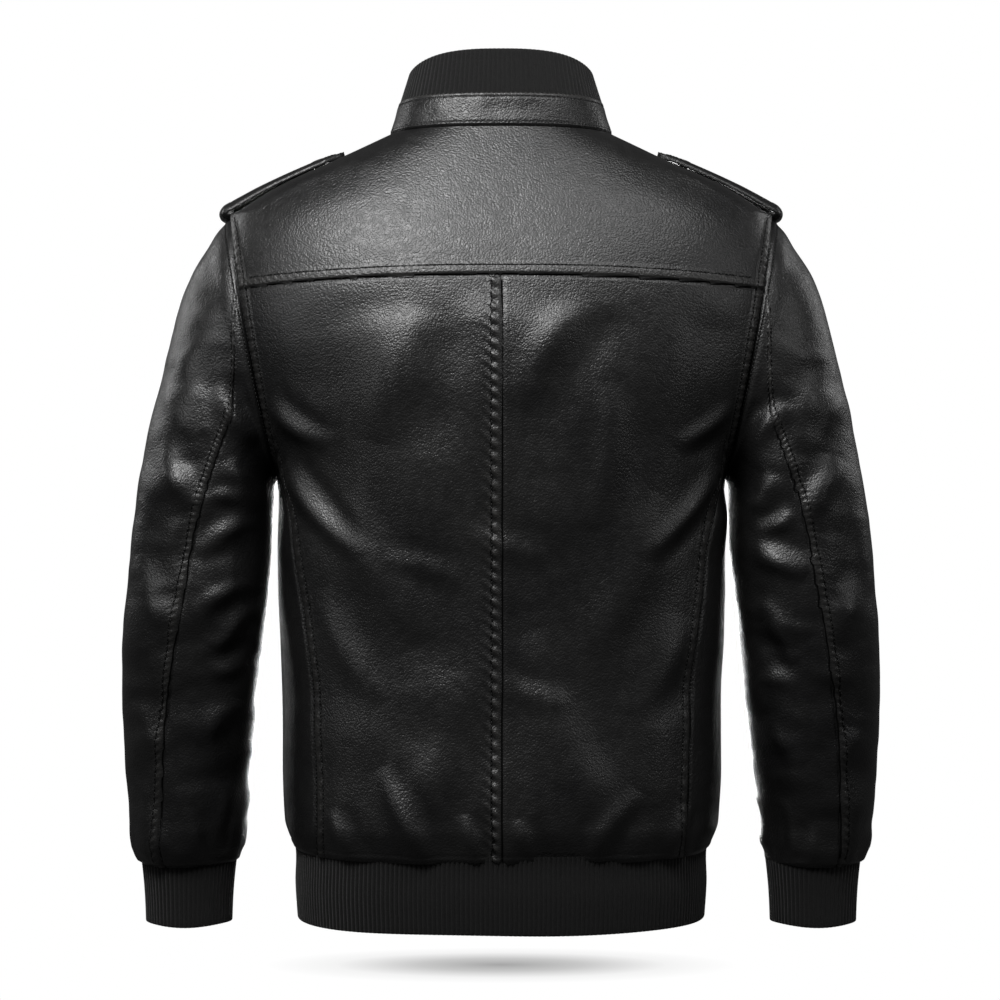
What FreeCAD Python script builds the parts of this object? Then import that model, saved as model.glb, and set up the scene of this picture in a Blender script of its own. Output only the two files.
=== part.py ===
import FreeCAD, Part
import math
import os

# Leather riding jacket. Millimetres, +Z up. The origin is in the middle of the neck opening,
# level with the seam of the collar at the back. The front of the jacket faces -Y and the
# wearer's left is +X.

V = FreeCAD.Vector

# Torso
NECK_Z = 3.0              # collar seam at the back and at the shoulders
FRONT_NECK_Z = -70.0      # collar seam at the front
HEM_SEAM_Z = -598.0       # where the leather meets the rib-knit hem
HEM_BOTTOM_Z = -656.0
ROUNDNESS = 2.5           # exponent of the superellipse of every level section
NECK_HALF_WIDTH = 94.0
NECK_FRONT_DEPTH = 88.0
FRONT_LEAN = 0.072        # how far the straight front edge leans forward per millimetre down
NECK_DROP_POWER = 1.6     # how sharply the neckline dips to the front
# (height, half width) of the sides below the armholes, and of the shoulder line above them
SIDE_KEYS = [(-656, 173), (-627, 176), (-598, 177), (-575, 184), (-475, 186), (-343, 190), (-285, 188)]
SHOULDER_KEYS = [(-66, 229), (-40, 187), (-18, 139), (3, 94)]
# (height, depth) of the back at its centre
BACK_KEYS = [(-656, 120), (-627, 123), (-598, 124), (-570, 131), (-475, 125), (-400, 123), (-300, 128),
             (-200, 132), (-124, 122), (-66, 101), (-30, 86), (3, 71)]

# Armholes: an ellipse in a tilted plane, from the shoulder point to the armpit
ARM_TOP_X, ARM_TOP_Z = 229.0, -66.0
ARM_LOW_X, ARM_LOW_Z = 188.0, -285.0
ARM_HALF_DEPTH = 75.0

# Seams
YOKE_SEAM_Z = -124.0      # back yoke seam at its centre
YOKE_SEAM_DROP = 8.0      # it falls this much to the armholes
PRINCESS_TOP_Z = -250.0   # where the side-back seam leaves the armhole
PRINCESS_KEYS = [(-598, 152), (-480, 155), (-430, 159), (-380, 167), (-322, 176), (-250, 194.6)]
SEAM_GAP = 1.0            # the cut edges of neighbouring panels stand this far apart
LEATHER = 2.0
LINING = 0.8
LINING_DEPTH = 5.4        # from the outer face of the leather to the lining
POCKET_BAG_DEPTH = 2.6

# Collar and hem
# (cosine of the angle from the centre back, height) of the collar: front, sides, back
COLLAR_HEIGHTS = [(-1, 60), (0, 50), (1, 64)]
COLLAR_TAPER = 16.0       # the top edge is this much narrower on each side
STAND_HEIGHT = 29.0       # the leather part of the collar; the rest of its height is rib knit
RIB = 3.6                 # thickness of the rib knit

# Sleeves: stations from the armhole to the wrist, each with the outer and inner point of a loop
# in the XZ plane, the loop's half depth along Y, and how far its middle lies along Y
STATIONS = [
    (229, -66, 188, -285, 75, 0),
    (262, -116, 192, -293, 73, 0),
    (283, -190, 193, -314, 71, 2),
    (302, -276, 194, -350, 67, 4),
    (317, -400, 201, -422, 62, 2),
    (320, -500, 212, -500, 55, -8),
    (314, -600, 221, -600, 48, -20),
]
CAP_END = 2.6             # the sleeve's cap ends here, counted in stations
ELBOW_START = 3.45
ELBOW_END = 4.5
SLEEVE_END = 6.12
JOINT_GAP = 0.03          # space between sleeve pieces of different bodies, in stations
BACK_SLEEVE_SEAM = 72.0   # degrees round the loop from its outer point towards the back
FRONT_SLEEVE_SEAM = -60.0
CUFF_TOP_Z = -612.0
CUFF_BOTTOM_Z = -666.0
CUFF_X, CUFF_Y = 267.5, -21.0
CUFF_BORE = 33.0
CUFF_TOP_RADIUS = 41.0
CUFF_BOTTOM_RADIUS = 36.6

# Front zip
ZIP_HALF_GAP = 5.0        # the leather's front edges stand this far from the centre
ZIP_TOP_Z = -18.0
ZIP_BOTTOM_Z = -644.0
TOOTH_WIDTH = 2.8
TOOTH_DEPTH = 3.5
TAPE_WIDTH = 14.0
TAPE = 0.8
SLIDER_LENGTH, SLIDER_WIDTH, SLIDER_DEPTH = 14.0, 8.4, 2.4
PULL_LENGTH, PULL_WIDTH, PULL_DEPTH = 30.0, 7.0, 1.6
PIN_RADIUS = 0.9
PIN_RISE = 2.2            # from the slider's face to the middle of its pin
MOVE_GAP = 0.35           # clearance of pieces that move past each other
CHAIN_FACE = -0.6         # the teeth's outer face, measured outward from the leather's face
TOOTH_SPACE = 0.15        # from the centre plane to the teeth
STOP_WIDTH, STOP_HEIGHT = 2.9, 3.0
BOX_HALF_WIDTH, BOX_HEIGHT = 4.2, 8.8
SLIDER_DROP = 9.0         # the slider rests this far below the top of the zip
METAL_ROUNDING = 0.8
EAR_SPREAD, EAR_THICKNESS, EAR_REACH = 2.4, 1.2, 1.6
EYE_WALL, EYE_WIDTH = 0.95, 3.0
NECK_LENGTH, NECK_HALF_DEPTH = 5.0, 0.7
PULL_HOLE_RADIUS = 1.6

# Slash pockets
POCKET_TOP = (100.0, -375.0)      # x and z of the upper end of the opening
POCKET_LOW = (134.0, -512.0)
WELT_WIDTH, WELT_DEPTH, WELT_LIFT = 20.0, 2.6, 1.4
WELT_END, WELT_WINDOW, WELT_ROUNDING = 9.0, 4.0, 3.0
POCKET_CHAIN_WIDTH, POCKET_CHAIN_DEPTH = 5.0, 1.4
POCKET_SLIDER_WIDTH, POCKET_SLIDER_LENGTH = 7.0, 11.0
POCKET_SLIDER_DROP = 8.0
POCKET_PULL_LENGTH, POCKET_PULL_WIDTH = 24.0, 6.0
BAG_INNER_X, BAG_OUTER_X, BAG_THICKNESS = 60.0, 140.0, 2.0
BAG_BELOW, BAG_ABOVE = 30.0, 10.0

# Hanger loop
LOOP_RADIUS = 32.0
LOOP_BAND = 5.0
LOOP_DEPTH = 1.5
LOOP_Y = 64.0
LOOP_SAG = 18.0           # the loop's lowest point is this far below the collar seam's origin
LOOP_TOP_Z = 8.0
LABEL_LOW_Z, LABEL_TOP_Z = -72.0, -48.0
LABEL_HALF_ANGLE = 3.6
LABEL_THICKNESS = 0.6

# Epaulettes
STRAP_WIDTH = 38.0
STRAP = 2.6
STRAP_UNDERSIDE = [(227.0, -54.0), (203.0, -42.0), (176.0, -29.5), (150.0, -18.8)]
STRAP_TIP = (136.0, -13.8)
STRAP_HINGE = (232.5, -56.5)
SNAP_X = 155.0
SNAP_RADIUS = 6.0
SNAP_CAP, SNAP_SOCKET, SNAP_STUD = 1.6, 1.2, 2.2
STRAP_TAPER = 4.0         # the strap's neck end is this much narrower on each side
STRAP_POINT = 16.0        # length of its pointed tip
STRAP_POINT_HALF = 2.0    # half width of the tip's blunt end
STRAP_LEAN = (0.45, 0.9)  # direction of the strap's thickness in x and z
FOLD_OUTER, FOLD_INNER = 5.2, 2.6
FOLD_DROP = (2.6, 1.6)    # from the hinge in to the fold's centre, in x and z


def smooth_value(keys, place):
    """Value at a place on the smooth curve through (place, value) keys."""
    if place <= keys[0][0]:
        return keys[0][1]
    if place >= keys[-1][0]:
        return keys[-1][1]
    index = max(i for i in range(len(keys) - 1) if keys[i][0] <= place)

    def slope(i):
        low, high = max(i - 1, 0), min(i + 1, len(keys) - 1)
        return (keys[high][1] - keys[low][1]) / (keys[high][0] - keys[low][0])

    span = keys[index + 1][0] - keys[index][0]
    u = (place - keys[index][0]) / span
    return ((2 * u**3 - 3 * u**2 + 1) * keys[index][1] + (u**3 - 2 * u**2 + u) * span * slope(index)
            + (3 * u**2 - 2 * u**3) * keys[index + 1][1] + (u**3 - u**2) * span * slope(index + 1))


def mix(low, high, share):
    return low + (high - low) * share


def arm_x(z):
    """The armhole plane's x at a height."""
    return mix(ARM_LOW_X, ARM_TOP_X, (z - ARM_LOW_Z) / (ARM_TOP_Z - ARM_LOW_Z))


def arm_half_depth(z):
    middle = (ARM_TOP_Z + ARM_LOW_Z) / 2
    half = (ARM_TOP_Z - ARM_LOW_Z) / 2
    return ARM_HALF_DEPTH * math.sqrt(max(0.0, 1 - ((z - middle) / half) ** 2))


def neckline_at(z):
    """Plan point of the front neckline at a height: x and depth."""
    cosine = ((NECK_Z - z) / (NECK_Z - FRONT_NECK_Z)) ** (1 / NECK_DROP_POWER)
    return (NECK_HALF_WIDTH * (1 - cosine**2) ** (1 / ROUNDNESS),
            NECK_FRONT_DEPTH * cosine ** (2 / ROUNDNESS))


def front_edge_depth(z):
    """Depth of the straight front edge, where the zip runs."""
    return NECK_FRONT_DEPTH + FRONT_LEAN * (FRONT_NECK_Z - z)


def shoulder_half_width(z):
    return smooth_value(SHOULDER_KEYS, z)


def section_depth(z, is_back):
    if is_back:
        return smooth_value(BACK_KEYS, z)
    if z <= FRONT_NECK_Z:
        return front_edge_depth(z)
    x, depth = neckline_at(z)
    ratio = (x / shoulder_half_width(max(z, ARM_TOP_Z))) ** ROUNDNESS
    return depth / (1 - ratio) ** (1 / ROUNDNESS)


def section_half_width(z, depth):
    if z >= ARM_TOP_Z:
        return shoulder_half_width(z)
    if z > ARM_LOW_Z:
        share = (arm_half_depth(z) / depth) ** ROUNDNESS
        return arm_x(z) / (1 - share) ** (1 / ROUNDNESS)
    return smooth_value(SIDE_KEYS, z)


def point_at_x(z, x, is_back):
    """Point on the torso's back or front at a height and a distance from the centre plane."""
    depth = section_depth(z, is_back)
    ratio = min(1.0, abs(x) / section_half_width(z, depth)) ** ROUNDNESS
    depth = depth * (1 - ratio) ** (1 / ROUNDNESS)
    return V(x, depth if is_back else -depth, z)


def angle_at_x(z, x, is_back):
    """Angle from the centre back (or centre front) at which the section reaches x."""
    width = section_half_width(z, section_depth(z, is_back))
    return math.degrees(math.asin(min(1.0, (x / width) ** (ROUNDNESS / 2))))


def torso_point(z, angle):
    """Point on the torso: 0 degrees is the centre back, 90 the wearer's left, 180 the front."""
    is_back = abs(angle) <= 90
    depth = section_depth(z, is_back)
    width = section_half_width(z, depth)
    sine, cosine = math.sin(math.radians(angle)), math.cos(math.radians(angle))
    power = 2 / ROUNDNESS
    return V(math.copysign(width * abs(sine) ** power, sine),
             math.copysign(depth * abs(cosine) ** power, cosine), z)


def even_out(share):
    """Spaces columns closer together towards the side, where the torso curves away."""
    return math.sin(math.radians(80 * share)) / math.sin(math.radians(80))


def princess_x(z):
    return arm_x(z) if z >= PRINCESS_TOP_Z else smooth_value(PRINCESS_KEYS, z)


def back_edge_angle(z):
    """Angle of the back's outer edge: the shoulder line, or the armhole seam below it."""
    return 90.0 if z >= ARM_TOP_Z else angle_at_x(z, arm_x(z), True)


def front_edge_angle(z):
    return 90.0 if z >= ARM_TOP_Z else 180 - angle_at_x(z, arm_x(z), False)


def princess_angle(z):
    """Angle of the side-back seam, which runs up into the armhole."""
    return angle_at_x(z, princess_x(z), True)


def side_front_angle(z):
    return 180 - angle_at_x(z, princess_x(z), False)


def spread(count):
    return [i / (count - 1) for i in range(count)]


def shell_patch(point_at, columns, rows, depth, thickness, inside):
    """Thin closed solid that follows a surface, from depth to depth + thickness below it."""
    grid = [[point_at(u, v) for u in spread(columns)] for v in spread(rows)]

    def lowered(amount):
        moved = []
        for j in range(rows):
            line = []
            for i in range(columns):
                along = grid[j][min(i + 1, columns - 1)] - grid[j][max(i - 1, 0)]
                across = grid[min(j + 1, rows - 1)][i] - grid[max(j - 1, 0)][i]
                normal = along.cross(across).normalize()
                if normal.dot(inside - grid[j][i]) < 0:
                    normal = normal * -1
                line.append(grid[j][i] + normal * amount)
            moved.append(line)
        return moved

    surfaces = []
    for amount in (depth, depth + thickness):
        surface = Part.BSplineSurface()
        surface.interpolate(lowered(amount))
        surfaces.append(surface)
    outer, inner = surfaces
    faces = [outer.toShape(), inner.toShape()]
    for parameter in (outer.bounds()[0], outer.bounds()[1]):
        faces.append(Part.makeRuledSurface(outer.uIso(parameter).toShape(), inner.uIso(parameter).toShape()))
    for parameter in (outer.bounds()[2], outer.bounds()[3]):
        faces.append(Part.makeRuledSurface(outer.vIso(parameter).toShape(), inner.vIso(parameter).toShape()))
    shell = Part.makeShell(faces)
    shell.sewShape()
    solid = Part.makeSolid(shell)
    if solid.Volume < 0:
        solid.reverse()
    return solid


def inset(share, length):
    """Moves a 0 to 1 parameter in from both ends by half a seam gap."""
    margin = SEAM_GAP / 2 / length
    return margin + share * (1 - 2 * margin)


def mirrored(shape):
    return shape.mirror(V(0, 0, 0), V(1, 0, 0))


TORSO_INSIDE = V(0, 0, -250)


def upper_row(v, low_z, high_z):
    """Row heights from low_z up to high_z, dense where the armhole closes at the shoulder."""
    turn = 0.5
    if v >= turn:
        return mix(ARM_TOP_Z, high_z, ((v - turn) / (1 - turn)) ** 1.3)
    middle = (ARM_TOP_Z + ARM_LOW_Z) / 2
    half = (ARM_TOP_Z - ARM_LOW_Z) / 2
    start = math.acos((low_z - middle) / half)
    return middle + half * math.cos(start * (1 - v / turn) ** 0.75)


def make_back_yoke():
    def point_at(u, v):
        side = mix(-1, 1, inset(u, 430))
        v = inset(v, 130)
        z = upper_row(v, YOKE_SEAM_Z, NECK_Z) - YOKE_SEAM_DROP * side**2 * (1 - v) ** 3
        return torso_point(z, side * back_edge_angle(z))
    return shell_patch(point_at, 25, 19, 0, LEATHER, TORSO_INSIDE)


def make_back_panel():
    """The left half of the back, from the centre seam to the side-back seam."""
    def point_at(u, v):
        u = inset(u, 160)
        z = mix(HEM_SEAM_Z, YOKE_SEAM_Z - YOKE_SEAM_DROP * u**2, inset(v, 470))
        return point_at_x(z, princess_x(z) * even_out(u), True)
    return shell_patch(point_at, 11, 25, 0, LEATHER, TORSO_INSIDE)


def make_side_panel():
    """The panel under the arm. Its top edge is the bottom of the armhole."""
    middle = (ARM_TOP_Z + ARM_LOW_Z) / 2
    half = (ARM_TOP_Z - ARM_LOW_Z) / 2
    reach = math.acos((middle - PRINCESS_TOP_Z) / half)

    def top(u):
        z = middle - half * math.cos(mix(-reach, reach, u))
        return z, (back_edge_angle(z) if u < 0.5 else front_edge_angle(z))

    def point_at(u, v):
        u = inset(u, 60)
        v = inset(v, 340)
        top_z, top_angle = top(u)
        level = mix(HEM_SEAM_Z, PRINCESS_TOP_Z, v)
        angle = mix(princess_angle(level), side_front_angle(level), u)
        pull = top_angle - mix(princess_angle(PRINCESS_TOP_Z), side_front_angle(PRINCESS_TOP_Z), u)
        return torso_point(mix(HEM_SEAM_Z, top_z, v), angle + pull * v**6)
    return shell_patch(point_at, 11, 21, 0, LEATHER, TORSO_INSIDE)


def make_front_panel():
    """The left front below the yoke seam, from the zip to the side-front seam."""
    def point_at(u, v):
        z = mix(HEM_SEAM_Z, YOKE_SEAM_Z - YOKE_SEAM_DROP, inset(v, 470))
        x = mix(ZIP_HALF_GAP, princess_x(z), even_out(inset(u, 160)))
        return point_at_x(z, x, False)
    return shell_patch(point_at, 11, 25, 0, LEATHER, TORSO_INSIDE)


def make_front_yoke():
    """The left front above the yoke seam, up to the shoulder line and the neckline."""
    highest = NECK_Z - 0.5

    def point_at(u, v):
        z = upper_row(inset(v, 130), YOKE_SEAM_Z - YOKE_SEAM_DROP, highest)
        inner_x = ZIP_HALF_GAP if z < FRONT_NECK_Z else max(ZIP_HALF_GAP, neckline_at(z)[0])
        inner_angle = 180 - angle_at_x(z, inner_x, False)
        return torso_point(z, mix(inner_angle, front_edge_angle(z), 0.98 * inset(u, 160)))
    return shell_patch(point_at, 13, 19, 0, LEATHER, TORSO_INSIDE)


def torso_band(low_z, high_z, low_angle, high_angle, depth, thickness, columns, rows):
    """A piece that follows the inside of the torso between two heights and two angles."""
    def point_at(u, v):
        return torso_point(mix(low_z, high_z, v), mix(low_angle, high_angle, u))
    return shell_patch(point_at, columns, rows, depth, thickness, TORSO_INSIDE)


def make_back_lining():
    def point_at(u, v):
        z = mix(HEM_SEAM_Z + 4, ARM_TOP_Z - 6, v)
        limit = back_edge_angle(z) - 6 if z > PRINCESS_TOP_Z else princess_angle(z)
        return torso_point(z, mix(-1, 1, u) * limit)
    return shell_patch(point_at, 21, 25, LINING_DEPTH, LINING, TORSO_INSIDE)


def make_front_lining():
    def point_at(u, v):
        z = mix(HEM_SEAM_Z + 4, FRONT_NECK_Z - 6, v)
        inner = 180 - angle_at_x(z, TAPE_WIDTH + 6, False)
        outer = front_edge_angle(z) + 4 if z > PRINCESS_TOP_Z else side_front_angle(z)
        return torso_point(z, mix(inner, outer, u))
    return shell_patch(point_at, 13, 25, LINING_DEPTH, LINING, TORSO_INSIDE)


def collar_point(angle, share):
    """Point on the collar: share 0 is the seam with the body and 1 is the top edge."""
    sine, cosine = math.sin(math.radians(angle)), math.cos(math.radians(angle))
    forward = max(0.0, -cosine)
    seam_z = NECK_Z - (NECK_Z - FRONT_NECK_Z) * forward**NECK_DROP_POWER
    height = smooth_value(COLLAR_HEIGHTS, cosine)
    width = NECK_HALF_WIDTH - COLLAR_TAPER * share
    if cosine >= 0:
        depth = smooth_value(BACK_KEYS, NECK_Z) - 11 * share
    else:
        depth = front_edge_depth(FRONT_NECK_Z + COLLAR_HEIGHTS[0][1] * share)
    power = 2 / ROUNDNESS
    return V(math.copysign(width * abs(sine) ** power, sine),
             math.copysign(depth * abs(cosine) ** power, cosine), seam_z + height * share)


def make_collar(is_stand, thickness):
    """The leather stand or the rib knit above it, open at the front for the zip."""
    opening = math.degrees((ZIP_HALF_GAP / NECK_HALF_WIDTH) ** (ROUNDNESS / 2))

    def point_at(u, v):
        angle = mix(opening - 180, 180 - opening, u)
        seam_share = STAND_HEIGHT / smooth_value(COLLAR_HEIGHTS, math.cos(math.radians(angle)))
        low, high = (0, seam_share) if is_stand else (seam_share, 1)
        return collar_point(angle, mix(low, high, inset(v, 30)))
    return shell_patch(point_at, 49, 5, 0, thickness, V(0, -10, 0))


def make_hem():
    def point_at(u, v):
        z = mix(HEM_BOTTOM_Z, HEM_SEAM_Z - SEAM_GAP, v)
        limit = 180 - angle_at_x(z, ZIP_HALF_GAP, False)
        return torso_point(z, mix(-limit, limit, u))
    return shell_patch(point_at, 61, 5, 0, RIB, V(0, 0, -627))


def sleeve_value(index, t):
    return smooth_value([(i, station[index]) for i, station in enumerate(STATIONS)], t)


def sleeve_frame(t):
    """Middle of the sleeve's loop at t, its half axis towards the outer point, and half depth."""
    extra = max(0.0, t - (len(STATIONS) - 1))
    t = min(t, len(STATIONS) - 1)
    outer = V(sleeve_value(0, t), 0, sleeve_value(1, t))
    inner = V(sleeve_value(2, t), 0, sleeve_value(3, t))
    middle = (outer + inner) * 0.5 + V(0, sleeve_value(5, t), -100 * extra)
    shrink = 1 - 0.7 * extra
    return middle, (outer - inner) * 0.5 * shrink, sleeve_value(4, t) * shrink


def sleeve_point(t, angle, depth=0.0):
    """Point on the sleeve: angle 0 is its outer line, 90 its back and 180 the underarm line."""
    middle, axis, half_depth = sleeve_frame(t)
    shrink = 1 - depth / axis.Length
    cosine, sine = math.cos(math.radians(angle)), math.sin(math.radians(angle))
    return middle + axis * (cosine * shrink) + V(0, (half_depth - depth) * sine, 0)


def sleeve_loop(t, depth):
    points = [sleeve_point(t, 360 * i / 24, depth) for i in range(24)]
    curve = Part.BSplineCurve()
    curve.interpolate(Points=points, PeriodicFlag=True)
    return Part.Wire(curve.toShape())


def make_sleeve_tube(start, end, count):
    """A whole ring of the sleeve between two places along it."""
    places = [mix(start, end, share) for share in spread(count)]
    outer = Part.makeLoft([sleeve_loop(t, 0) for t in places], True, False)
    inner = Part.makeLoft([sleeve_loop(t, LEATHER) for t in places], True, False)
    return outer.cut(inner)


def make_sleeve_panel(start, end, low_angle, high_angle):
    """One of the two lengthwise panels of the sleeve between two places along it."""
    middle = sleeve_frame((start + end) / 2)[0]

    def point_at(u, v):
        return sleeve_point(mix(start, end, v), mix(low_angle, high_angle, inset(u, 150)))
    return shell_patch(point_at, 15, 7, 0, LEATHER, middle)


def make_cuff():
    """Rib-knit cuff: a tapered outside round a straight bore for the wrist."""
    height = CUFF_TOP_Z - CUFF_BOTTOM_Z
    base = V(CUFF_X, CUFF_Y, CUFF_BOTTOM_Z)
    outside = Part.makeCone(CUFF_BOTTOM_RADIUS, CUFF_TOP_RADIUS, height, base)
    return outside.cut(Part.makeCylinder(CUFF_BORE, height, base))


def zip_frame(z):
    """Placement on the front edge at a height: y outward, z up along the zip, x to the right."""
    up = V(0, FRONT_LEAN, 1).normalize()
    outward = V(0, -1, FRONT_LEAN).normalize()
    return local_frame(V(0, -front_edge_depth(z), z), outward, up)


def local_frame(origin, outward, up):
    """Placement whose local y points outward and local z up. Local x is towards the right sleeve."""
    across = outward.cross(up)
    matrix = FreeCAD.Matrix(across.x, outward.x, up.x, origin.x,
                            across.y, outward.y, up.y, origin.y,
                            across.z, outward.z, up.z, origin.z, 0, 0, 0, 1)
    return FreeCAD.Placement(matrix)


def placed(shape, frame):
    result = shape.copy()
    result.Placement = frame.multiply(result.Placement)
    return result


def box(low, high):
    return Part.makeBox(high[0] - low[0], high[1] - low[1], high[2] - low[2], V(*low))


ZIP_LENGTH = (ZIP_TOP_Z - ZIP_BOTTOM_Z) * math.sqrt(1 + FRONT_LEAN**2)


def make_zip_teeth():
    half = box((-TOOTH_WIDTH, CHAIN_FACE - TOOTH_DEPTH, 0), (-TOOTH_SPACE, CHAIN_FACE, ZIP_LENGTH))
    return placed(half, zip_frame(ZIP_BOTTOM_Z))


def make_zip_tape():
    face = CHAIN_FACE - TOOTH_DEPTH
    tape = box((-TAPE_WIDTH, face - TAPE, -4), (-1.2, face, ZIP_LENGTH))
    return placed(tape, zip_frame(ZIP_BOTTOM_Z))


def make_zip_stops():
    """Two small metal stops, one above each row of teeth."""
    low, high = 2 * TOOTH_SPACE, 2 * TOOTH_SPACE + STOP_WIDTH
    base, face = CHAIN_FACE - TOOTH_DEPTH, CHAIN_FACE + 0.2
    stops = [box((a, base, 0.2), (b, face, 0.2 + STOP_HEIGHT)) for a, b in ((low, high), (-high, -low))]
    return placed(Part.makeCompound(stops), zip_frame(ZIP_TOP_Z))


def make_zip_box():
    body = box((-BOX_HALF_WIDTH, CHAIN_FACE - TOOTH_DEPTH, -BOX_HEIGHT - 0.2),
               (BOX_HALF_WIDTH, CHAIN_FACE + 1.0, -0.2))
    return placed(rounded(body, METAL_ROUNDING), zip_frame(ZIP_BOTTOM_Z))


def rounded(shape, radius):
    return shape.makeFillet(radius, shape.Edges)


def slider_shape(width, length, base):
    """Slider body with a bail across its top. Local z is up along the zip and y is outward."""
    top = base + SLIDER_DEPTH
    body = rounded(box((-width / 2, base, -length / 2), (width / 2, top, length / 2)), METAL_ROUNDING)
    half_ear = EAR_THICKNESS / 2
    ears = [box((x - half_ear, top - 0.2, -EAR_REACH), (x + half_ear, top + PIN_RISE + 1.2, EAR_REACH))
            for x in (-EAR_SPREAD, EAR_SPREAD)]
    pin = Part.makeCylinder(PIN_RADIUS, 2 * EAR_SPREAD, V(-EAR_SPREAD, top + PIN_RISE, 0), V(1, 0, 0))
    return body.fuse(ears + [pin]).removeSplitter()


def pull_shape(length, width, base):
    """Pull tab hanging from the slider's pin, with an eye round it."""
    height = base + SLIDER_DEPTH + PIN_RISE
    half_eye = EYE_WIDTH / 2
    eye = Part.makeCylinder(PIN_RADIUS + EYE_WALL, EYE_WIDTH, V(-half_eye, height, 0), V(1, 0, 0))
    neck = box((-half_eye, height - NECK_HALF_DEPTH, -NECK_LENGTH), (half_eye, height + NECK_HALF_DEPTH, 0))
    tab = box((-width / 2, height - PULL_DEPTH / 2, -length),
              (width / 2, height + PULL_DEPTH / 2, 0.5 - NECK_LENGTH))
    ends = [edge for edge in tab.Edges if abs(edge.BoundBox.YLength - PULL_DEPTH) < 0.01]
    hole = Part.makeCylinder(PIN_RADIUS + 0.08, EYE_WIDTH + 1, V(-half_eye - 0.5, height, 0), V(1, 0, 0))
    slot = Part.makeCylinder(PULL_HOLE_RADIUS, 4, V(0, height - 2, -length + 5), V(0, 1, 0))
    return tab.makeFillet(2.0, ends).fuse([eye, neck]).cut(hole).cut(slot).removeSplitter()


SLIDER_BASE = CHAIN_FACE + MOVE_GAP
SLIDER_REST_Z = ZIP_TOP_Z - SLIDER_DROP


def make_main_slider():
    return placed(slider_shape(SLIDER_WIDTH, SLIDER_LENGTH, SLIDER_BASE), zip_frame(SLIDER_REST_Z))


def make_main_pull():
    return placed(pull_shape(PULL_LENGTH, PULL_WIDTH, SLIDER_BASE), zip_frame(SLIDER_REST_Z))


def front_point(x, z):
    return torso_point(z, 180 - angle_at_x(z, x, False))


def pocket_frame():
    """Placement of the left pocket opening: z runs up along the zip and y points outward."""
    top, low = front_point(*POCKET_TOP), front_point(*POCKET_LOW)
    up = (top - low).normalize()
    middle_x, middle_z = (POCKET_TOP[0] + POCKET_LOW[0]) / 2, (POCKET_TOP[1] + POCKET_LOW[1]) / 2
    middle = front_point(middle_x, middle_z)
    level = front_point(middle_x + 5, middle_z) - front_point(middle_x - 5, middle_z)
    outward = level.cross(up).normalize()
    if outward.y > 0:
        outward = outward * -1
    return local_frame(middle, outward, up)


POCKET_LENGTH = math.hypot(POCKET_TOP[0] - POCKET_LOW[0], POCKET_TOP[1] - POCKET_LOW[1])
POCKET_SLIDER_TOP = POCKET_LENGTH / 2 - POCKET_SLIDER_DROP


def make_pocket_welt():
    """Leather frame round the pocket's zip."""
    half_width, half_length = WELT_WIDTH / 2, POCKET_LENGTH / 2 + WELT_END
    plate = box((-half_width, WELT_LIFT, -half_length), (half_width, WELT_LIFT + WELT_DEPTH, half_length))
    corners = [edge for edge in plate.Edges if abs(edge.BoundBox.YLength - WELT_DEPTH) < 0.01]
    window = box((-WELT_WINDOW, 0, -POCKET_LENGTH / 2), (WELT_WINDOW, 10, POCKET_LENGTH / 2))
    return placed(plate.makeFillet(WELT_ROUNDING, corners).cut(window), pocket_frame())


def make_pocket_chain():
    half = POCKET_CHAIN_WIDTH / 2
    length = POCKET_LENGTH / 2 - 0.3
    face = WELT_LIFT + POCKET_CHAIN_DEPTH
    return placed(box((-half, WELT_LIFT, -length), (half, face, length)), pocket_frame())


def pocket_slider_frame():
    shift = FreeCAD.Placement(V(0, 0, POCKET_SLIDER_TOP), FreeCAD.Rotation())
    return pocket_frame().multiply(shift)


POCKET_SLIDER_BASE = WELT_LIFT + POCKET_CHAIN_DEPTH + MOVE_GAP


def make_pocket_slider():
    shape = slider_shape(POCKET_SLIDER_WIDTH, POCKET_SLIDER_LENGTH, POCKET_SLIDER_BASE)
    return placed(shape, pocket_slider_frame())


def make_pocket_pull():
    shape = pull_shape(POCKET_PULL_LENGTH, POCKET_PULL_WIDTH, POCKET_SLIDER_BASE)
    return placed(shape, pocket_slider_frame())


def make_pocket_bag():
    z_low, z_high = POCKET_LOW[1] - BAG_BELOW, POCKET_TOP[1] + BAG_ABOVE
    inner = 180 - angle_at_x(z_high, BAG_INNER_X, False)
    outer = 180 - angle_at_x(z_high, BAG_OUTER_X, False)
    return torso_band(z_low, z_high, inner, outer, POCKET_BAG_DEPTH, BAG_THICKNESS, 9, 9)


def make_epaulette_strap():
    """Shoulder strap, pointed at the neck end. It swings up on the fold at its sleeve end."""
    underside = STRAP_UNDERSIDE + [STRAP_TIP]
    upper = [(x + STRAP * STRAP_LEAN[0], z + STRAP * STRAP_LEAN[1]) for x, z in underside]
    outline = underside + upper[::-1]
    corners = [V(x, -STRAP_WIDTH / 2, z) for x, z in outline]
    plate = Part.Face(Part.makePolygon(corners + corners[:1])).extrude(V(0, STRAP_WIDTH, 0))
    half, narrow = STRAP_WIDTH / 2, STRAP_WIDTH / 2 - STRAP_TAPER
    tip_x, shoulder_x, far_x = STRAP_TIP[0], STRAP_TIP[0] + STRAP_POINT, 260
    plan = [(tip_x, -STRAP_POINT_HALF), (shoulder_x, -narrow), (far_x, -half), (far_x, half),
            (shoulder_x, narrow), (tip_x, STRAP_POINT_HALF)]
    plan_points = [V(x, y, -100) for x, y in plan]
    cutter = Part.Face(Part.makePolygon(plan_points + plan_points[:1])).extrude(V(0, 0, 150))
    return plate.common(cutter)


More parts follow.
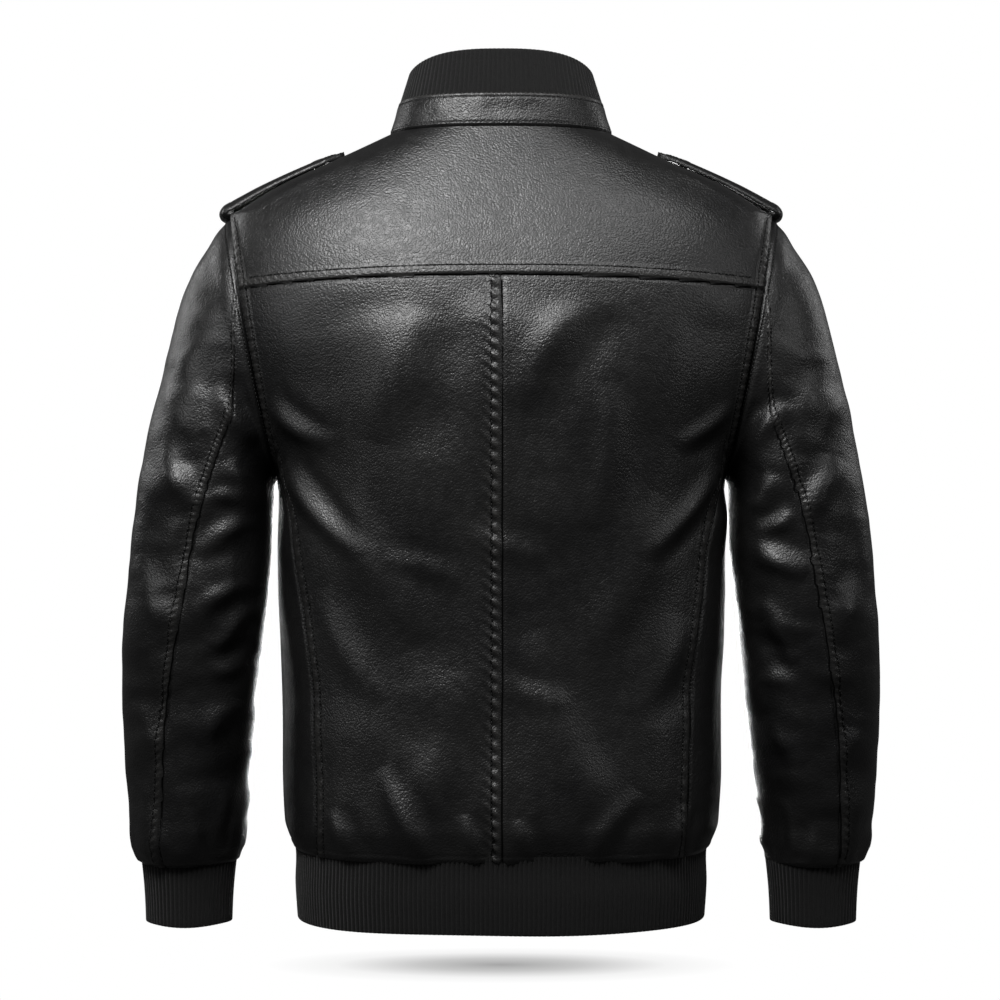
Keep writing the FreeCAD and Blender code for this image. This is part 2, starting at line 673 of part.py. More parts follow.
def make_epaulette_fold():
    """The strap's sewn end: it rises from the armhole seam and folds back over the shoulder."""
    centre = V(STRAP_HINGE[0] - FOLD_DROP[0], -STRAP_WIDTH / 2, STRAP_HINGE[1] - FOLD_DROP[1])
    ring = Part.makeCylinder(FOLD_OUTER, STRAP_WIDTH, centre, V(0, 1, 0))
    ring = ring.cut(Part.makeCylinder(FOLD_INNER, STRAP_WIDTH, centre, V(0, 1, 0)))
    keep = box((STRAP_HINGE[0] - 2.4, -50, -90), (STRAP_HINGE[0] + 12, 50, -30))
    return ring.common(keep)


def snap_axis():
    """Point under the strap where the snap sits, and the strap's upward direction there."""
    (x_a, z_a), (x_b, z_b) = STRAP_UNDERSIDE[-2:]
    foot = V(SNAP_X, 0, mix(z_a, z_b, (SNAP_X - x_a) / (x_b - x_a)))
    return foot, V(z_b - z_a, 0, x_a - x_b).normalize()


def make_snap_cap():
    """Press-stud cap on top of the strap, and the socket under it."""
    foot, upward = snap_axis()
    cap = Part.makeCylinder(SNAP_RADIUS, SNAP_CAP, foot + upward * (STRAP + 0.05), upward)
    socket = Part.makeCylinder(SNAP_RADIUS - 1, SNAP_SOCKET, foot - upward * (SNAP_SOCKET + 0.02), upward)
    return Part.makeCompound([cap, socket])


def make_snap_stud():
    """The snap's lower half, on the shoulder line under the strap."""
    foot, upward = snap_axis()
    top = foot - upward * (SNAP_SOCKET + MOVE_GAP)
    return Part.makeCylinder(SNAP_RADIUS - 1.5, SNAP_STUD, top, upward * -1)


def make_hanger_loop():
    """Loop for a coat hook. Its ends meet the collar's seam and its middle sags below it."""
    centre = V(0, LOOP_Y, LOOP_RADIUS - LOOP_SAG)
    ring = Part.makeCylinder(LOOP_RADIUS, LOOP_DEPTH, centre, V(0, 1, 0))
    hole = Part.makeCylinder(LOOP_RADIUS - LOOP_BAND, LOOP_DEPTH, centre, V(0, 1, 0))
    return ring.cut(hole).common(box((-60, 0, -60), (60, 100, LOOP_TOP_Z)))


def make_neck_label():
    depth = LINING_DEPTH + LINING + 0.3
    angles = (-LABEL_HALF_ANGLE, LABEL_HALF_ANGLE)
    return torso_band(LABEL_LOW_Z, LABEL_TOP_Z, *angles, depth, LABEL_THICKNESS, 7, 4)


def write(name, shape):
    shape.exportStep("parts/" + name + ".step")


def write_pair(name, shape):
    write(name + "_left", shape)
    write(name + "_right", mirrored(shape))


def main():
    os.makedirs("parts", exist_ok=True)
    write("back_yoke", make_back_yoke())
    write_pair("back_panel", make_back_panel())
    write_pair("side_panel", make_side_panel())
    write_pair("front_panel", make_front_panel())
    write_pair("front_yoke", make_front_yoke())
    write("back_lining", make_back_lining())
    write_pair("front_lining", make_front_lining())
    write("collar_stand", make_collar(True, LEATHER))
    write("collar_rib", make_collar(False, RIB))
    write("hem_rib", make_hem())
    write("hanger_loop", make_hanger_loop())
    write("neck_label", make_neck_label())

    write_pair("zip_tape", make_zip_tape())
    write_pair("zip_teeth", make_zip_teeth())
    write("zip_top_stops", make_zip_stops())
    write("zip_retaining_box", make_zip_box())
    write("main_slider", make_main_slider())
    write("main_pull", make_main_pull())

    write_pair("pocket_welt", make_pocket_welt())
    write_pair("pocket_chain", make_pocket_chain())
    write_pair("pocket_slider", make_pocket_slider())
    write_pair("pocket_pull", make_pocket_pull())
    write_pair("pocket_bag", make_pocket_bag())

    write_pair("epaulette_strap", make_epaulette_strap())
    write_pair("epaulette_fold", make_epaulette_fold())
    write_pair("snap_cap", make_snap_cap())
    write_pair("snap_stud", make_snap_stud())

    outer_angles = (FRONT_SLEEVE_SEAM, BACK_SLEEVE_SEAM)
    under_angles = (BACK_SLEEVE_SEAM, FRONT_SLEEVE_SEAM + 360)
    write_pair("sleeve_cap", make_sleeve_tube(JOINT_GAP / 2, CAP_END - JOINT_GAP, 7))
    write_pair("sleeve_elbow", make_sleeve_tube(ELBOW_START + JOINT_GAP, ELBOW_END - JOINT_GAP, 5))
    write_pair("upper_sleeve_outer", make_sleeve_panel(CAP_END, ELBOW_START, *outer_angles))
    write_pair("upper_sleeve_under", make_sleeve_panel(CAP_END, ELBOW_START, *under_angles))
    write_pair("forearm_outer", make_sleeve_panel(ELBOW_END, SLEEVE_END, *outer_angles))
    write_pair("forearm_under", make_sleeve_panel(ELBOW_END, SLEEVE_END, *under_angles))
    write_pair("cuff", make_cuff())


main()
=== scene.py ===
import math
import bpy
import numpy as np
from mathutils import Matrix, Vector
from mathutils.bvhtree import BVHTree


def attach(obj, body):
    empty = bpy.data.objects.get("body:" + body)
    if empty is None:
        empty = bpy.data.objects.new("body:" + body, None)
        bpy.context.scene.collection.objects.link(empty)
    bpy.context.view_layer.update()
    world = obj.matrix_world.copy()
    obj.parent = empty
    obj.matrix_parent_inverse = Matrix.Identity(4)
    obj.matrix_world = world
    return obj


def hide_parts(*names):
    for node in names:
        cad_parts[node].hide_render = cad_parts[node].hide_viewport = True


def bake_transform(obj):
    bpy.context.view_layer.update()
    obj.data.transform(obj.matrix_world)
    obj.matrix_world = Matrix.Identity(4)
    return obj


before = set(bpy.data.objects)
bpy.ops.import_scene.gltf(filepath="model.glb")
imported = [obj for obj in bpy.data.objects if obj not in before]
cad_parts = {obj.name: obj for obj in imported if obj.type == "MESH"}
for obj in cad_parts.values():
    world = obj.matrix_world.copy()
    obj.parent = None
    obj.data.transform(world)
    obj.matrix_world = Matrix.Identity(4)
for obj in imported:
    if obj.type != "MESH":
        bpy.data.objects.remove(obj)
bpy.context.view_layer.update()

# The looks of the leather riding jacket. Shapes are worked out in millimetres in the CAD frame
# (+Z up, the back faces +Y, +X is the wearer's left) and turned to metres when a mesh is made.

MM = 0.001
BODY = "jacket"

# ---------------------------------------------------------------- the jacket's form, as in CAD
NECK_Z = 3.0
FRONT_NECK_Z = -70.0
HEM_SEAM_Z = -598.0
HEM_BOTTOM_Z = -656.0
ROUNDNESS = 2.5
NECK_HALF_WIDTH = 94.0
NECK_FRONT_DEPTH = 88.0
FRONT_LEAN = 0.072
NECK_DROP_POWER = 1.6
SIDE_KEYS = [(-656, 173), (-627, 176), (-598, 177), (-575, 184), (-475, 186), (-343, 190), (-285, 188)]
SHOULDER_KEYS = [(-66, 229), (-40, 187), (-18, 139), (3, 94)]
BACK_KEYS = [(-656, 120), (-627, 123), (-598, 124), (-570, 131), (-475, 125), (-400, 123), (-300, 128),
             (-200, 132), (-124, 122), (-66, 101), (-30, 86), (3, 71)]
ARM_TOP_X, ARM_TOP_Z = 229.0, -66.0
ARM_LOW_X, ARM_LOW_Z = 188.0, -285.0
ARM_MIDDLE_Z = (ARM_TOP_Z + ARM_LOW_Z) / 2
ARM_HALF_HEIGHT = (ARM_TOP_Z - ARM_LOW_Z) / 2
ARM_HALF_DEPTH = 75.0
YOKE_SEAM_Z = -124.0
YOKE_SEAM_DROP = 8.0
YOKE_HALF_WIDTH = 215.0
COLLAR_BACK_DEPTH, COLLAR_BACK_TAPER = 71.0, 11.0
PRINCESS_TOP_Z = -250.0
PRINCESS_KEYS = [(-598, 152), (-480, 155), (-430, 159), (-380, 167), (-322, 176), (-250, 194.6)]
COLLAR_HEIGHTS = [(-1, 60), (0, 50), (1, 64)]
COLLAR_TAPER = 16.0
STAND_HEIGHT = 29.0
RIB = 3.6
STATIONS = [
    (229, -66, 188, -285, 75, 0),
    (262, -116, 192, -293, 73, 0),
    (283, -190, 193, -314, 71, 2),
    (302, -276, 194, -350, 67, 4),
    (317, -400, 201, -422, 62, 2),
    (320, -500, 212, -500, 55, -8),
    (314, -600, 221, -600, 48, -20),
]
SLEEVE_END = 6.16
SLEEVE_SPLIT = 3.05       # the sleeve's two pieces meet here, in stations
SHOULDER_BEND = (0.0, 2.9)
ELBOW_BEND = (3.3, 4.7)
CUFF_X, CUFF_Y = 267.5, -21.0
CUFF_TOP_Z, CUFF_BOTTOM_Z = -606.0, -666.0
CUFF_TOP_RADIUS, CUFF_BOTTOM_RADIUS = 41.0, 36.4
ZIP_HALF_GAP = 5.0
ZIP_TOP_Z, ZIP_BOTTOM_Z = -18.0, -644.0
CHAIN_FACE = -0.6
POCKET_TOP = (100.0, -375.0)
POCKET_LOW = (134.0, -512.0)
WELT_LIFT = 1.4
STRAP_WIDTH = 38.0
STRAP_LINE = [(133, -11.5), (150, -16.2), (176, -27.0), (203, -39.5), (222, -49.5), (230, -54.0)]
FOLD_LINE = [(229.5, -53.4), (234.5, -56.6), (237.6, -61.5), (236.0, -66.5), (230.0, -69.0), (224.0, -67.5)]


def smooth_value(keys, places):
    """Values at places on the smooth curve through (place, value) keys."""
    xs, ys = np.array(keys, float).T
    places = np.clip(np.asarray(places, float), xs[0], xs[-1])
    i = np.clip(np.searchsorted(xs, places, "right") - 1, 0, len(xs) - 2)
    low = np.maximum(np.arange(len(xs)) - 1, 0)
    high = np.minimum(np.arange(len(xs)) + 1, len(xs) - 1)
    slope = (ys[high] - ys[low]) / (xs[high] - xs[low])
    span = xs[i + 1] - xs[i]
    u = (places - xs[i]) / span
    return ((2 * u**3 - 3 * u**2 + 1) * ys[i] + (u**3 - 2 * u**2 + u) * span * slope[i]
            + (3 * u**2 - 2 * u**3) * ys[i + 1] + (u**3 - u**2) * span * slope[i + 1])


def smooth_step(low, high, values):
    u = np.clip((np.asarray(values, float) - low) / (high - low), 0, 1)
    return u * u * (3 - 2 * u)


def bump(values, centre, width):
    return np.exp(-((values - centre) / width) ** 2)


def unit(vectors):
    """A vector, or rows of vectors, scaled to length 1."""
    return vectors / np.linalg.norm(vectors, axis=-1, keepdims=True)


def run_along(points):
    """Distance run along a polyline at each of its points."""
    return np.concatenate([[0], np.cumsum(np.linalg.norm(np.diff(points, axis=0), axis=1))])


def points_at(places, run, points):
    """Points of a polyline at places counted along its run."""
    return np.stack([np.interp(places, run, column) for column in points.T], axis=1)


def mirror(side):
    """Factors that carry the left half to a side: 1 is left and -1 is right."""
    return np.array([side, 1, 1])


def arm_x(z):
    return ARM_LOW_X + (ARM_TOP_X - ARM_LOW_X) * (z - ARM_LOW_Z) / (ARM_TOP_Z - ARM_LOW_Z)


def arm_half_depth(z):
    return ARM_HALF_DEPTH * np.sqrt(np.clip(1 - ((z - ARM_MIDDLE_Z) / ARM_HALF_HEIGHT) ** 2, 0, None))


def neckline_at(z):
    drop = NECK_Z - FRONT_NECK_Z
    cosine = (np.clip(NECK_Z - z, 0, drop) / drop) ** (1 / NECK_DROP_POWER)
    return (NECK_HALF_WIDTH * (1 - cosine**2) ** (1 / ROUNDNESS),
            NECK_FRONT_DEPTH * cosine ** (2 / ROUNDNESS))


def front_edge_depth(z):
    return NECK_FRONT_DEPTH + FRONT_LEAN * (FRONT_NECK_Z - z)


def section_depth(z, is_back):
    if is_back:
        return smooth_value(BACK_KEYS, z)
    x, depth = neckline_at(z)
    ratio = np.minimum(x / smooth_value(SHOULDER_KEYS, z), 0.999) ** ROUNDNESS
    return np.where(z <= FRONT_NECK_Z, front_edge_depth(z), depth / (1 - ratio) ** (1 / ROUNDNESS))


def section_half_width(z, depth):
    share = np.minimum(arm_half_depth(z) / depth, 0.999) ** ROUNDNESS
    in_arm = arm_x(z) / (1 - share) ** (1 / ROUNDNESS)
    below = np.where(z > ARM_LOW_Z, in_arm, smooth_value(SIDE_KEYS, z))
    return np.where(z >= ARM_TOP_Z, smooth_value(SHOULDER_KEYS, z), below)


def angle_for_x(x, width):
    """Angle from the centre plane, in radians, at which a section reaches x."""
    return np.arcsin(np.minimum(1, (x / width) ** (ROUNDNESS / 2)))


def even_angle(share):
    """Shares of a quarter turn that space points evenly along a superellipse."""
    power = ROUNDNESS / 2
    return share**power / (share**power + (1 - share) ** power)


def princess_x(z):
    return np.where(z >= PRINCESS_TOP_Z, arm_x(z), smooth_value(PRINCESS_KEYS, z))


def yoke_seam_z(x):
    return YOKE_SEAM_Z - YOKE_SEAM_DROP * (x / YOKE_HALF_WIDTH) ** 2


def collar_point(angle, share):
    """Points on the collar; the angle runs from 0 at the back to 180 degrees at the front."""
    sine, cosine = np.sin(np.radians(angle)), np.cos(np.radians(angle))
    forward = np.maximum(0, -cosine)
    seam_z = NECK_Z - (NECK_Z - FRONT_NECK_Z) * forward**NECK_DROP_POWER
    height = smooth_value(COLLAR_HEIGHTS, cosine)
    width = NECK_HALF_WIDTH - COLLAR_TAPER * share
    front_depth = front_edge_depth(FRONT_NECK_Z + COLLAR_HEIGHTS[0][1] * share)
    depth = np.where(cosine >= 0, COLLAR_BACK_DEPTH - COLLAR_BACK_TAPER * share, front_depth)
    power = 2 / ROUNDNESS
    x = np.sign(sine) * width * np.abs(sine) ** power
    y = np.sign(cosine) * depth * np.abs(cosine) ** power
    return np.stack([x, y, seam_z + height * share], axis=-1)


def stand_share(angle):
    """Share of the collar's height that is leather at an angle."""
    return STAND_HEIGHT / smooth_value(COLLAR_HEIGHTS, np.cos(np.radians(angle)))


def sleeve_frame(t):
    """Middle, half axis towards the outer line, and half depth of the sleeve's loops at t."""
    last = len(STATIONS) - 1
    extra = np.maximum(0, t - last)
    places = np.minimum(t, last)
    values = [smooth_value(list(enumerate(column)), places) for column in zip(*STATIONS)]
    outer = np.stack([values[0], 0 * t, values[1]], axis=-1)
    inner = np.stack([values[2], 0 * t, values[3]], axis=-1)
    middle = (outer + inner) / 2 + np.stack([0 * t, values[5], -100 * extra], axis=-1)
    shrink = 1 - 0.7 * extra
    return middle, (outer - inner) / 2 * shrink[..., None], values[4] * shrink


# ---------------------------------------------------------------- noise, folds and seams
def noise(points, size, seed):
    """Smooth noise from -1 to 1 whose features are about size across. size may be per axis."""
    scaled = points / np.asarray(size, float) + seed * 17.31
    cell = np.floor(scaled).astype(np.int64)
    part = scaled - cell
    part = part * part * (3 - 2 * part)
    total = np.zeros(len(points))
    for corner in range(8):
        step = np.array([corner & 1, corner >> 1 & 1, corner >> 2 & 1])
        at = cell + step
        mixed = (at[:, 0] * 73856093) ^ (at[:, 1] * 19349663) ^ (at[:, 2] * 83492791)
        mixed = (mixed ^ (mixed >> 13)) * 1274126177 & 0x7FFFFFFF
        mixed = (mixed ^ (mixed >> 15)) & 0xFFFF
        weight = np.prod(np.where(step, part, 1 - part), axis=1)
        total += weight * (mixed / 32767.5 - 1)
    return total


def fold(plane, start, end, width, height, bow=0.0):
    """Crest along a line on a plane of (x, z) positions, with a shallow trough beside it."""
    a, b = np.array(start, float), np.array(end, float)
    length = np.linalg.norm(b - a)
    along = (plane - a) @ (b - a) / length**2
    across = ((plane[:, 0] - a[0]) * (b - a)[1] - (plane[:, 1] - a[1]) * (b - a)[0]) / length
    across = across + bow * 4 * along * (1 - along)
    ends = np.clip(1 - (2 * along - 1) ** 2, 0, None)
    return height * ends * (bump(across, 0, width) - 0.5 * bump(across, 1.9 * width, width))


def seam(distance, along, stitch_at, pucker=0.5, welt=0.9, pitch=10.4):
    """Height of a topstitched seam. The welt lies on the side where distance is positive."""
    groove = -1.7 * bump(distance, 0, 0.9)
    raised = welt * smooth_step(0.3, 1.8, distance)
    raised = raised * (1 - smooth_step(stitch_at - 0.3, stitch_at + 3, distance))
    row = -0.75 * bump(distance, stitch_at, 0.75)
    ripple = np.sin(2 * math.pi * (along - 0.9 * distance) / pitch + 1.6 * np.sin(along / 31))
    inside = pucker * ripple * bump(distance, stitch_at * 0.72, stitch_at * 0.24)
    outside = 0.25 * pucker * ripple * bump(distance, stitch_at * 1.35, stitch_at * 0.4)
    return groove + raised + row + inside + outside


# ---------------------------------------------------------------- mesh making
def new_object(name, points, faces, material, smooth=True):
    """Mesh object from points in millimetres."""
    mesh = bpy.data.meshes.new(name)
    points = np.asarray(points, float) * MM
    mesh.vertices.add(len(points))
    mesh.vertices.foreach_set("co", points.astype(np.float32).ravel())
    faces = np.asarray(faces, np.int32)
    mesh.loops.add(faces.size)
    mesh.loops.foreach_set("vertex_index", faces.ravel())
    mesh.polygons.add(len(faces))
    mesh.polygons.foreach_set("loop_start", np.arange(len(faces), dtype=np.int32) * faces.shape[1])
    mesh.polygons.foreach_set("loop_total", np.full(len(faces), faces.shape[1], np.int32))
    mesh.update(calc_edges=True)
    mesh.validate()
    mesh.polygons.foreach_set("use_smooth", np.full(len(mesh.polygons), smooth))
    obj = bpy.data.objects.new(name, mesh)
    bpy.context.scene.collection.objects.link(obj)
    mesh.materials.append(material)
    return obj


def grid_faces(index, closed=False):
    """Quads over a two-way array of vertex numbers, closed round the columns if asked."""
    if closed:
        index = np.concatenate([index, index[:, :1]], axis=1)
    quads = np.stack([index[:-1, :-1], index[:-1, 1:], index[1:, 1:], index[1:, :-1]], axis=-1)
    return quads.reshape(-1, 4)


def grid_index(grid, start=0):
    """Vertex numbers of a grid of points, in rows and columns."""
    return np.arange(grid.shape[0] * grid.shape[1]).reshape(grid.shape[:2]) + start


def read_vectors(rows, field):
    flat = np.empty(len(rows) * 3, np.float32)
    rows.foreach_get(field, flat)
    return flat


def vertex_array(obj):
    return read_vectors(obj.data.vertices, "co").reshape(-1, 3).astype(float) / MM


def normal_array(obj):
    return read_vectors(obj.data.vertex_normals, "vector").reshape(-1, 3).astype(float)


def face_array(obj):
    """Vertex numbers of the faces of a mesh made of quads."""
    flat = np.empty(len(obj.data.polygons) * 4, np.int32)
    obj.data.polygons.foreach_get("vertices", flat)
    return flat.reshape(-1, 4)


def renumber(faces, count):
    """The vertices that faces use, out of count, and the faces in terms of those only."""
    used = np.unique(faces)
    lookup = np.zeros(count, int)
    lookup[used] = np.arange(len(used))
    return used, lookup[faces]


def move_vertices(obj, points):
    obj.data.vertices.foreach_set("co", (points * MM).astype(np.float32).ravel())
    obj.data.update()


def turn_over(obj):
    obj.data.flip_normals()
    obj.data.update()


def settle(obj, body, slot, *nodes):
    """States the body a piece rides on and the CAD nodes it replaces; its slot is not used."""
    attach(obj, body)
    if nodes:
        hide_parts(*nodes)
    return obj


def keep_rest(obj):
    """Stores where each vertex rests, so that a material stays put when the piece bends."""
    attribute = obj.data.attributes.new("rest", "FLOAT_VECTOR", "POINT")
    attribute.data.foreach_set("vector", read_vectors(obj.data.vertices, "co"))


def keep_wear(obj, wear):
    attribute = obj.data.attributes.new("wear", "FLOAT", "POINT")
    attribute.data.foreach_set("value", wear.astype(np.float32))


def face_outward(obj, inside):
    """Turns the faces so that they look away from a point inside the piece."""
    points, normals = vertex_array(obj), normal_array(obj)
    if np.mean(np.einsum("ij,ij->i", normals, points - np.array(inside, float))) < 0:
        turn_over(obj)


# ---------------------------------------------------------------- materials
MIX_A, MIX_B, MIX_RESULT = 6, 7, 2      # the colour sockets of a mix node
DARK_LEATHER = (0.0045, 0.0045, 0.0048, 1)
LIGHT_LEATHER = (0.0105, 0.0104, 0.0102, 1)
WORN_LEATHER = (0.055, 0.053, 0.05, 1)
# Colour of the painted shade laid in seams and under stitch rows.
SEAM_SHADOW = (0.0022, 0.0022, 0.0022, 1)


def set_inputs(made, **inputs):
    for key, value in inputs.items():
        made.inputs[key.replace("_", " ")].default_value = value
    return made


def node(tree, kind, **inputs):
    return set_inputs(tree.nodes.new(kind), **inputs)


def new_material(name):
    material = bpy.data.materials.new(name)
    material.use_nodes = True
    tree = material.node_tree
    return material, tree, tree.nodes["Principled BSDF"]


def rest_place(tree):
    place = tree.nodes.new("ShaderNodeAttribute")
    place.attribute_name = "rest"
    return place.outputs["Vector"]


def object_place(tree):
    return tree.nodes.new("ShaderNodeTexCoord").outputs["Object"]


def noise_node(tree, place, scale, detail=3.0, rough=0.55, distort=0.0):
    made = node(tree, "ShaderNodeTexNoise", Scale=scale, Detail=detail, Roughness=rough,
                Distortion=distort)
    tree.links.new(place, made.inputs["Vector"])
    return made.outputs["Fac"]


def ramp(tree, source, stops):
    made = tree.nodes.new("ShaderNodeValToRGB")
    elements = made.color_ramp.elements
    for spot, (position, colour) in zip(elements, (stops[0], stops[-1])):
        spot.position, spot.color = position, colour
    for position, colour in stops[1:-1]:
        elements.new(position).color = colour
    tree.links.new(source, made.inputs["Fac"])
    return made.outputs["Color"]


def grey(value):
    return (value, value, value, 1.0)


def between(tree, source, dark, light, low=0.3, high=0.7):
    """Colour that goes from dark to light as source goes from low to high."""
    return ramp(tree, source, [(low, dark), (high, light)])


def wire(tree, shader, **sources):
    """Links sources to the shader. A list of bump layers goes to the normal."""
    for key, source in sources.items():
        source = bump_chain(tree, source) if isinstance(source, list) else source
        tree.links.new(source, shader.inputs[key.replace("_", " ")])


def bump_chain(tree, layers):
    """Bump nodes one on another. Each layer is (height, strength, distance in metres)."""
    normal = None
    for height, strength, distance in layers:
        made = node(tree, "ShaderNodeBump", Strength=strength, Distance=distance)
        tree.links.new(height, made.inputs["Height"])
        if normal is not None:
            tree.links.new(normal, made.inputs["Normal"])
        normal = made.outputs["Normal"]
    return normal


def math_node(tree, operation, first, second):
    made = tree.nodes.new("ShaderNodeMath")
    made.operation = operation
    for socket, value in zip(made.inputs, (first, second)):
        if isinstance(value, (int, float)):
            socket.default_value = value
        else:
            tree.links.new(value, socket)
    return made.outputs["Value"]


def warped(tree, place, scale, amount):
    """The place moved about by smooth noise, so that a pattern on it flows."""
    drift = noise_node(tree, place, scale, 1.0).node
    moved = tree.nodes.new("ShaderNodeVectorMath")
    moved.operation = "MULTIPLY_ADD"
    tree.links.new(drift.outputs["Color"], moved.inputs[0])
    moved.inputs[1].default_value = (amount, amount, amount)
    tree.links.new(place, moved.inputs[2])
    return moved.outputs["Vector"]


def cell_node(tree, place, scale, feature):
    made = node(tree, "ShaderNodeTexVoronoi", Scale=scale, Randomness=1.0)
    made.feature = feature
    tree.links.new(place, made.inputs["Vector"])
    return made.outputs["Distance"]


def leather_material(name, place_of, has_wear):
    """Black creased leather: pebble grain, long fine creases, and rubbed seams."""
    material, tree, shader = new_material(name)
    place = place_of(tree)
    domes = cell_node(tree, warped(tree, place, 70.0, 0.003), 620.0, "F1")
    domes = ramp(tree, domes, [(0.0, grey(1.0)), (0.35, grey(0.72)), (0.75, grey(0.0))])
    creases = cell_node(tree, warped(tree, place, 45.0, 0.006), 250.0, "DISTANCE_TO_EDGE")
    creases = ramp(tree, creases, [(0.0, grey(0.0)), (0.1, grey(0.6)), (0.35, grey(1.0))])
    patches = noise_node(tree, place, 9.0, 4.0, 0.6)
    swells = noise_node(tree, place, 120.0, 2.0, 0.5)
    tone = between(tree, patches, DARK_LEATHER, LIGHT_LEATHER)
    gloss = between(tree, swells, grey(0.32), grey(0.44), 0.25, 0.75)
    if has_wear:
        wear = tree.nodes.new("ShaderNodeAttribute")
        wear.attribute_name = "wear"
        colour = tree.nodes.new("ShaderNodeMix")
        colour.data_type = "RGBA"
        rubbed = math_node(tree, "MULTIPLY", wear.outputs["Fac"], patches)
        tree.links.new(rubbed, colour.inputs["Factor"])
        tree.links.new(tone, colour.inputs[MIX_A])
        colour.inputs[MIX_B].default_value = WORN_LEATHER
        tone = colour.outputs[MIX_RESULT]
    grain = [(swells, 0.2, 0.0011), (creases, 0.24, 0.0004), (domes, 0.42, 0.0004)]
    wire(tree, shader, Base_Color=tone, Roughness=gloss, Normal=grain)
    set_inputs(shader, Specular_IOR_Level=0.55)
    return material


def knit_material(name, colour):
    """Matte wool-like knit. The ribs are in the mesh; the loops of yarn are here."""
    material, tree, shader = new_material(name)
    place = rest_place(tree)
    loops = noise_node(tree, place, 900.0, 2.0, 0.7)
    fuzz = noise_node(tree, place, 2600.0, 2.0, 0.7)
    wire(tree, shader, Base_Color=between(tree, loops, grey(colour * 0.6), grey(colour * 1.7)),
         Normal=[(loops, 0.6, 0.0006), (fuzz, 0.5, 0.0003)])
    set_inputs(shader, Roughness=0.92, Specular_IOR_Level=0.2, Sheen_Weight=0.12, Sheen_Roughness=0.5)
    return material


def woven_material(name, colour, roughness, threads):
    """Plain weave of crossing threads, for the lining, the tape and the label."""
    material, tree, shader = new_material(name)
    place = object_place(tree)
    heights = []
    for direction in ("X", "Z"):
        wave = node(tree, "ShaderNodeTexWave", Scale=threads, Distortion=0.6, Detail=1.0)
        wave.bands_direction = direction
        tree.links.new(place, wave.inputs["Vector"])
        heights.append(wave.outputs["Fac"])
    weave = math_node(tree, "MAXIMUM", *heights)
    shade = noise_node(tree, place, 40.0)
    wire(tree, shader, Base_Color=between(tree, shade, grey(colour * 0.8), grey(colour * 1.25)),
         Normal=[(weave, 0.35, 0.0002)])
    set_inputs(shader, Roughness=roughness, Sheen_Weight=0.1)
    return material


def thread_material():
    material, tree, shader = new_material("stitch_thread")
    twist = noise_node(tree, object_place(tree), 2400.0, 2.0)
    wire(tree, shader, Base_Color=between(tree, twist, grey(0.008), grey(0.022)),
         Normal=[(twist, 0.5, 0.0001)])
    set_inputs(shader, Roughness=0.5)
    return material


def painted_shade_material():
    """Painted shade: a dark matte colour that stands in for the shadowed bottom of a seam and of the
    channel under a row of stitches.
    """
    material, _, shader = new_material("seam_shadow")
    set_inputs(shader, Base_Color=SEAM_SHADOW, Roughness=0.95, Specular_IOR_Level=0.05)
    return material


def metal_material(name, colour, roughness):
    """Dark plated metal with faint brushing and rubbed spots."""
    material, tree, shader = new_material(name)
    place = object_place(tree)
    brushed = noise_node(tree, place, 1200.0, 2.0, 0.5, 0.3)
    spots = noise_node(tree, place, 260.0)
    dark, light = (tuple(c * share for c in colour) + (1,) for share in (0.75, 1.35))
    wire(tree, shader, Base_Color=between(tree, spots, dark, light, 0.35),
         Roughness=between(tree, brushed, grey(roughness * 0.8), grey(roughness * 1.3)),
         Normal=[(brushed, 0.08, 0.0001)])
    set_inputs(shader, Metallic=1.0)
    return material


LEATHER = leather_material("leather", rest_place, True)
PLAIN_LEATHER = leather_material("leather_trim", object_place, False)
KNIT = knit_material("rib_knit", 0.0065)
LINING = woven_material("lining_satin", 0.012, 0.38, 1400.0 / 6.3)
TAPE = woven_material("zip_tape", 0.008, 0.8, 2200.0 / 6.3)
LABEL = woven_material("blank_label", 0.03, 0.7, 1800.0 / 6.3)
THREAD = thread_material()
# Painted shade, laid in the seams and under the stitch rows.
PAINTED_SHADE = painted_shade_material()
GUNMETAL = metal_material("gunmetal", (0.23, 0.225, 0.22), 0.28)
PALE_METAL = metal_material("tooth_metal", (0.34, 0.33, 0.315), 0.3)


# ---------------------------------------------------------------- topstitching
STITCH_SIZE = np.array([2.6, 0.3, 0.3])   # length and radii
STITCH_PITCH, STITCH_LIFT = 3.3, 0.1
RIBBON_PITCH = 1.6
# The dark ribbons sized here are painted shade.
SEAM_SHADE_WIDTH, STITCH_SHADE_WIDTH = 1.5, 1.3      # of the dark ribbons in seams and under stitches
SHADE_RIBBON_RISE, SLEEVE_SEAM_SHADE_RISE, STITCH_SHADE_RISE = 0.05, 0.12, 0.18


def even_path(points, pitch):
    """Points every pitch along a polyline, with the direction at each."""
    points = np.asarray(points, float)
    run = run_along(points)
    at = np.arange(pitch / 2, run[-1], pitch)
    direction = points_at(at + 0.5, run, points) - points_at(at - 0.5, run, points)
    return points_at(at, run, points), unit(direction)


def stitch_template():
    """Unit stitch: a closed spindle along x that dips at both ends. Columns x, y, lift."""
    rings = [(-0.5, 0.35, -0.8), (-0.36, 0.9, -0.1), (0.0, 1.0, 0.35), (0.36, 0.9, -0.1), (0.5, 0.35, -0.8)]
    sides = 6
    points = []
    for x, radius, lift in rings:
        for k in range(sides):
            turn = 2 * math.pi * k / sides
            points.append((x, radius * math.cos(turn), lift + radius * math.sin(turn)))
    faces = []
    for ring in range(len(rings) - 1):
        for k in range(sides):
            a, b = ring * sides + k, ring * sides + (k + 1) % sides
            faces.append((a, b, b + sides, a + sides))
    for start in (0, (len(rings) - 1) * sides):
        faces.append((start, start + 1, start + 2, start + 3))
        faces.append((start, start + 3, start + 4, start + 5))
    return np.array(points), np.array(faces)


def surface_tree(surface):
    return BVHTree.FromPolygons(vertex_array(surface).tolist(), face_array(surface).tolist())


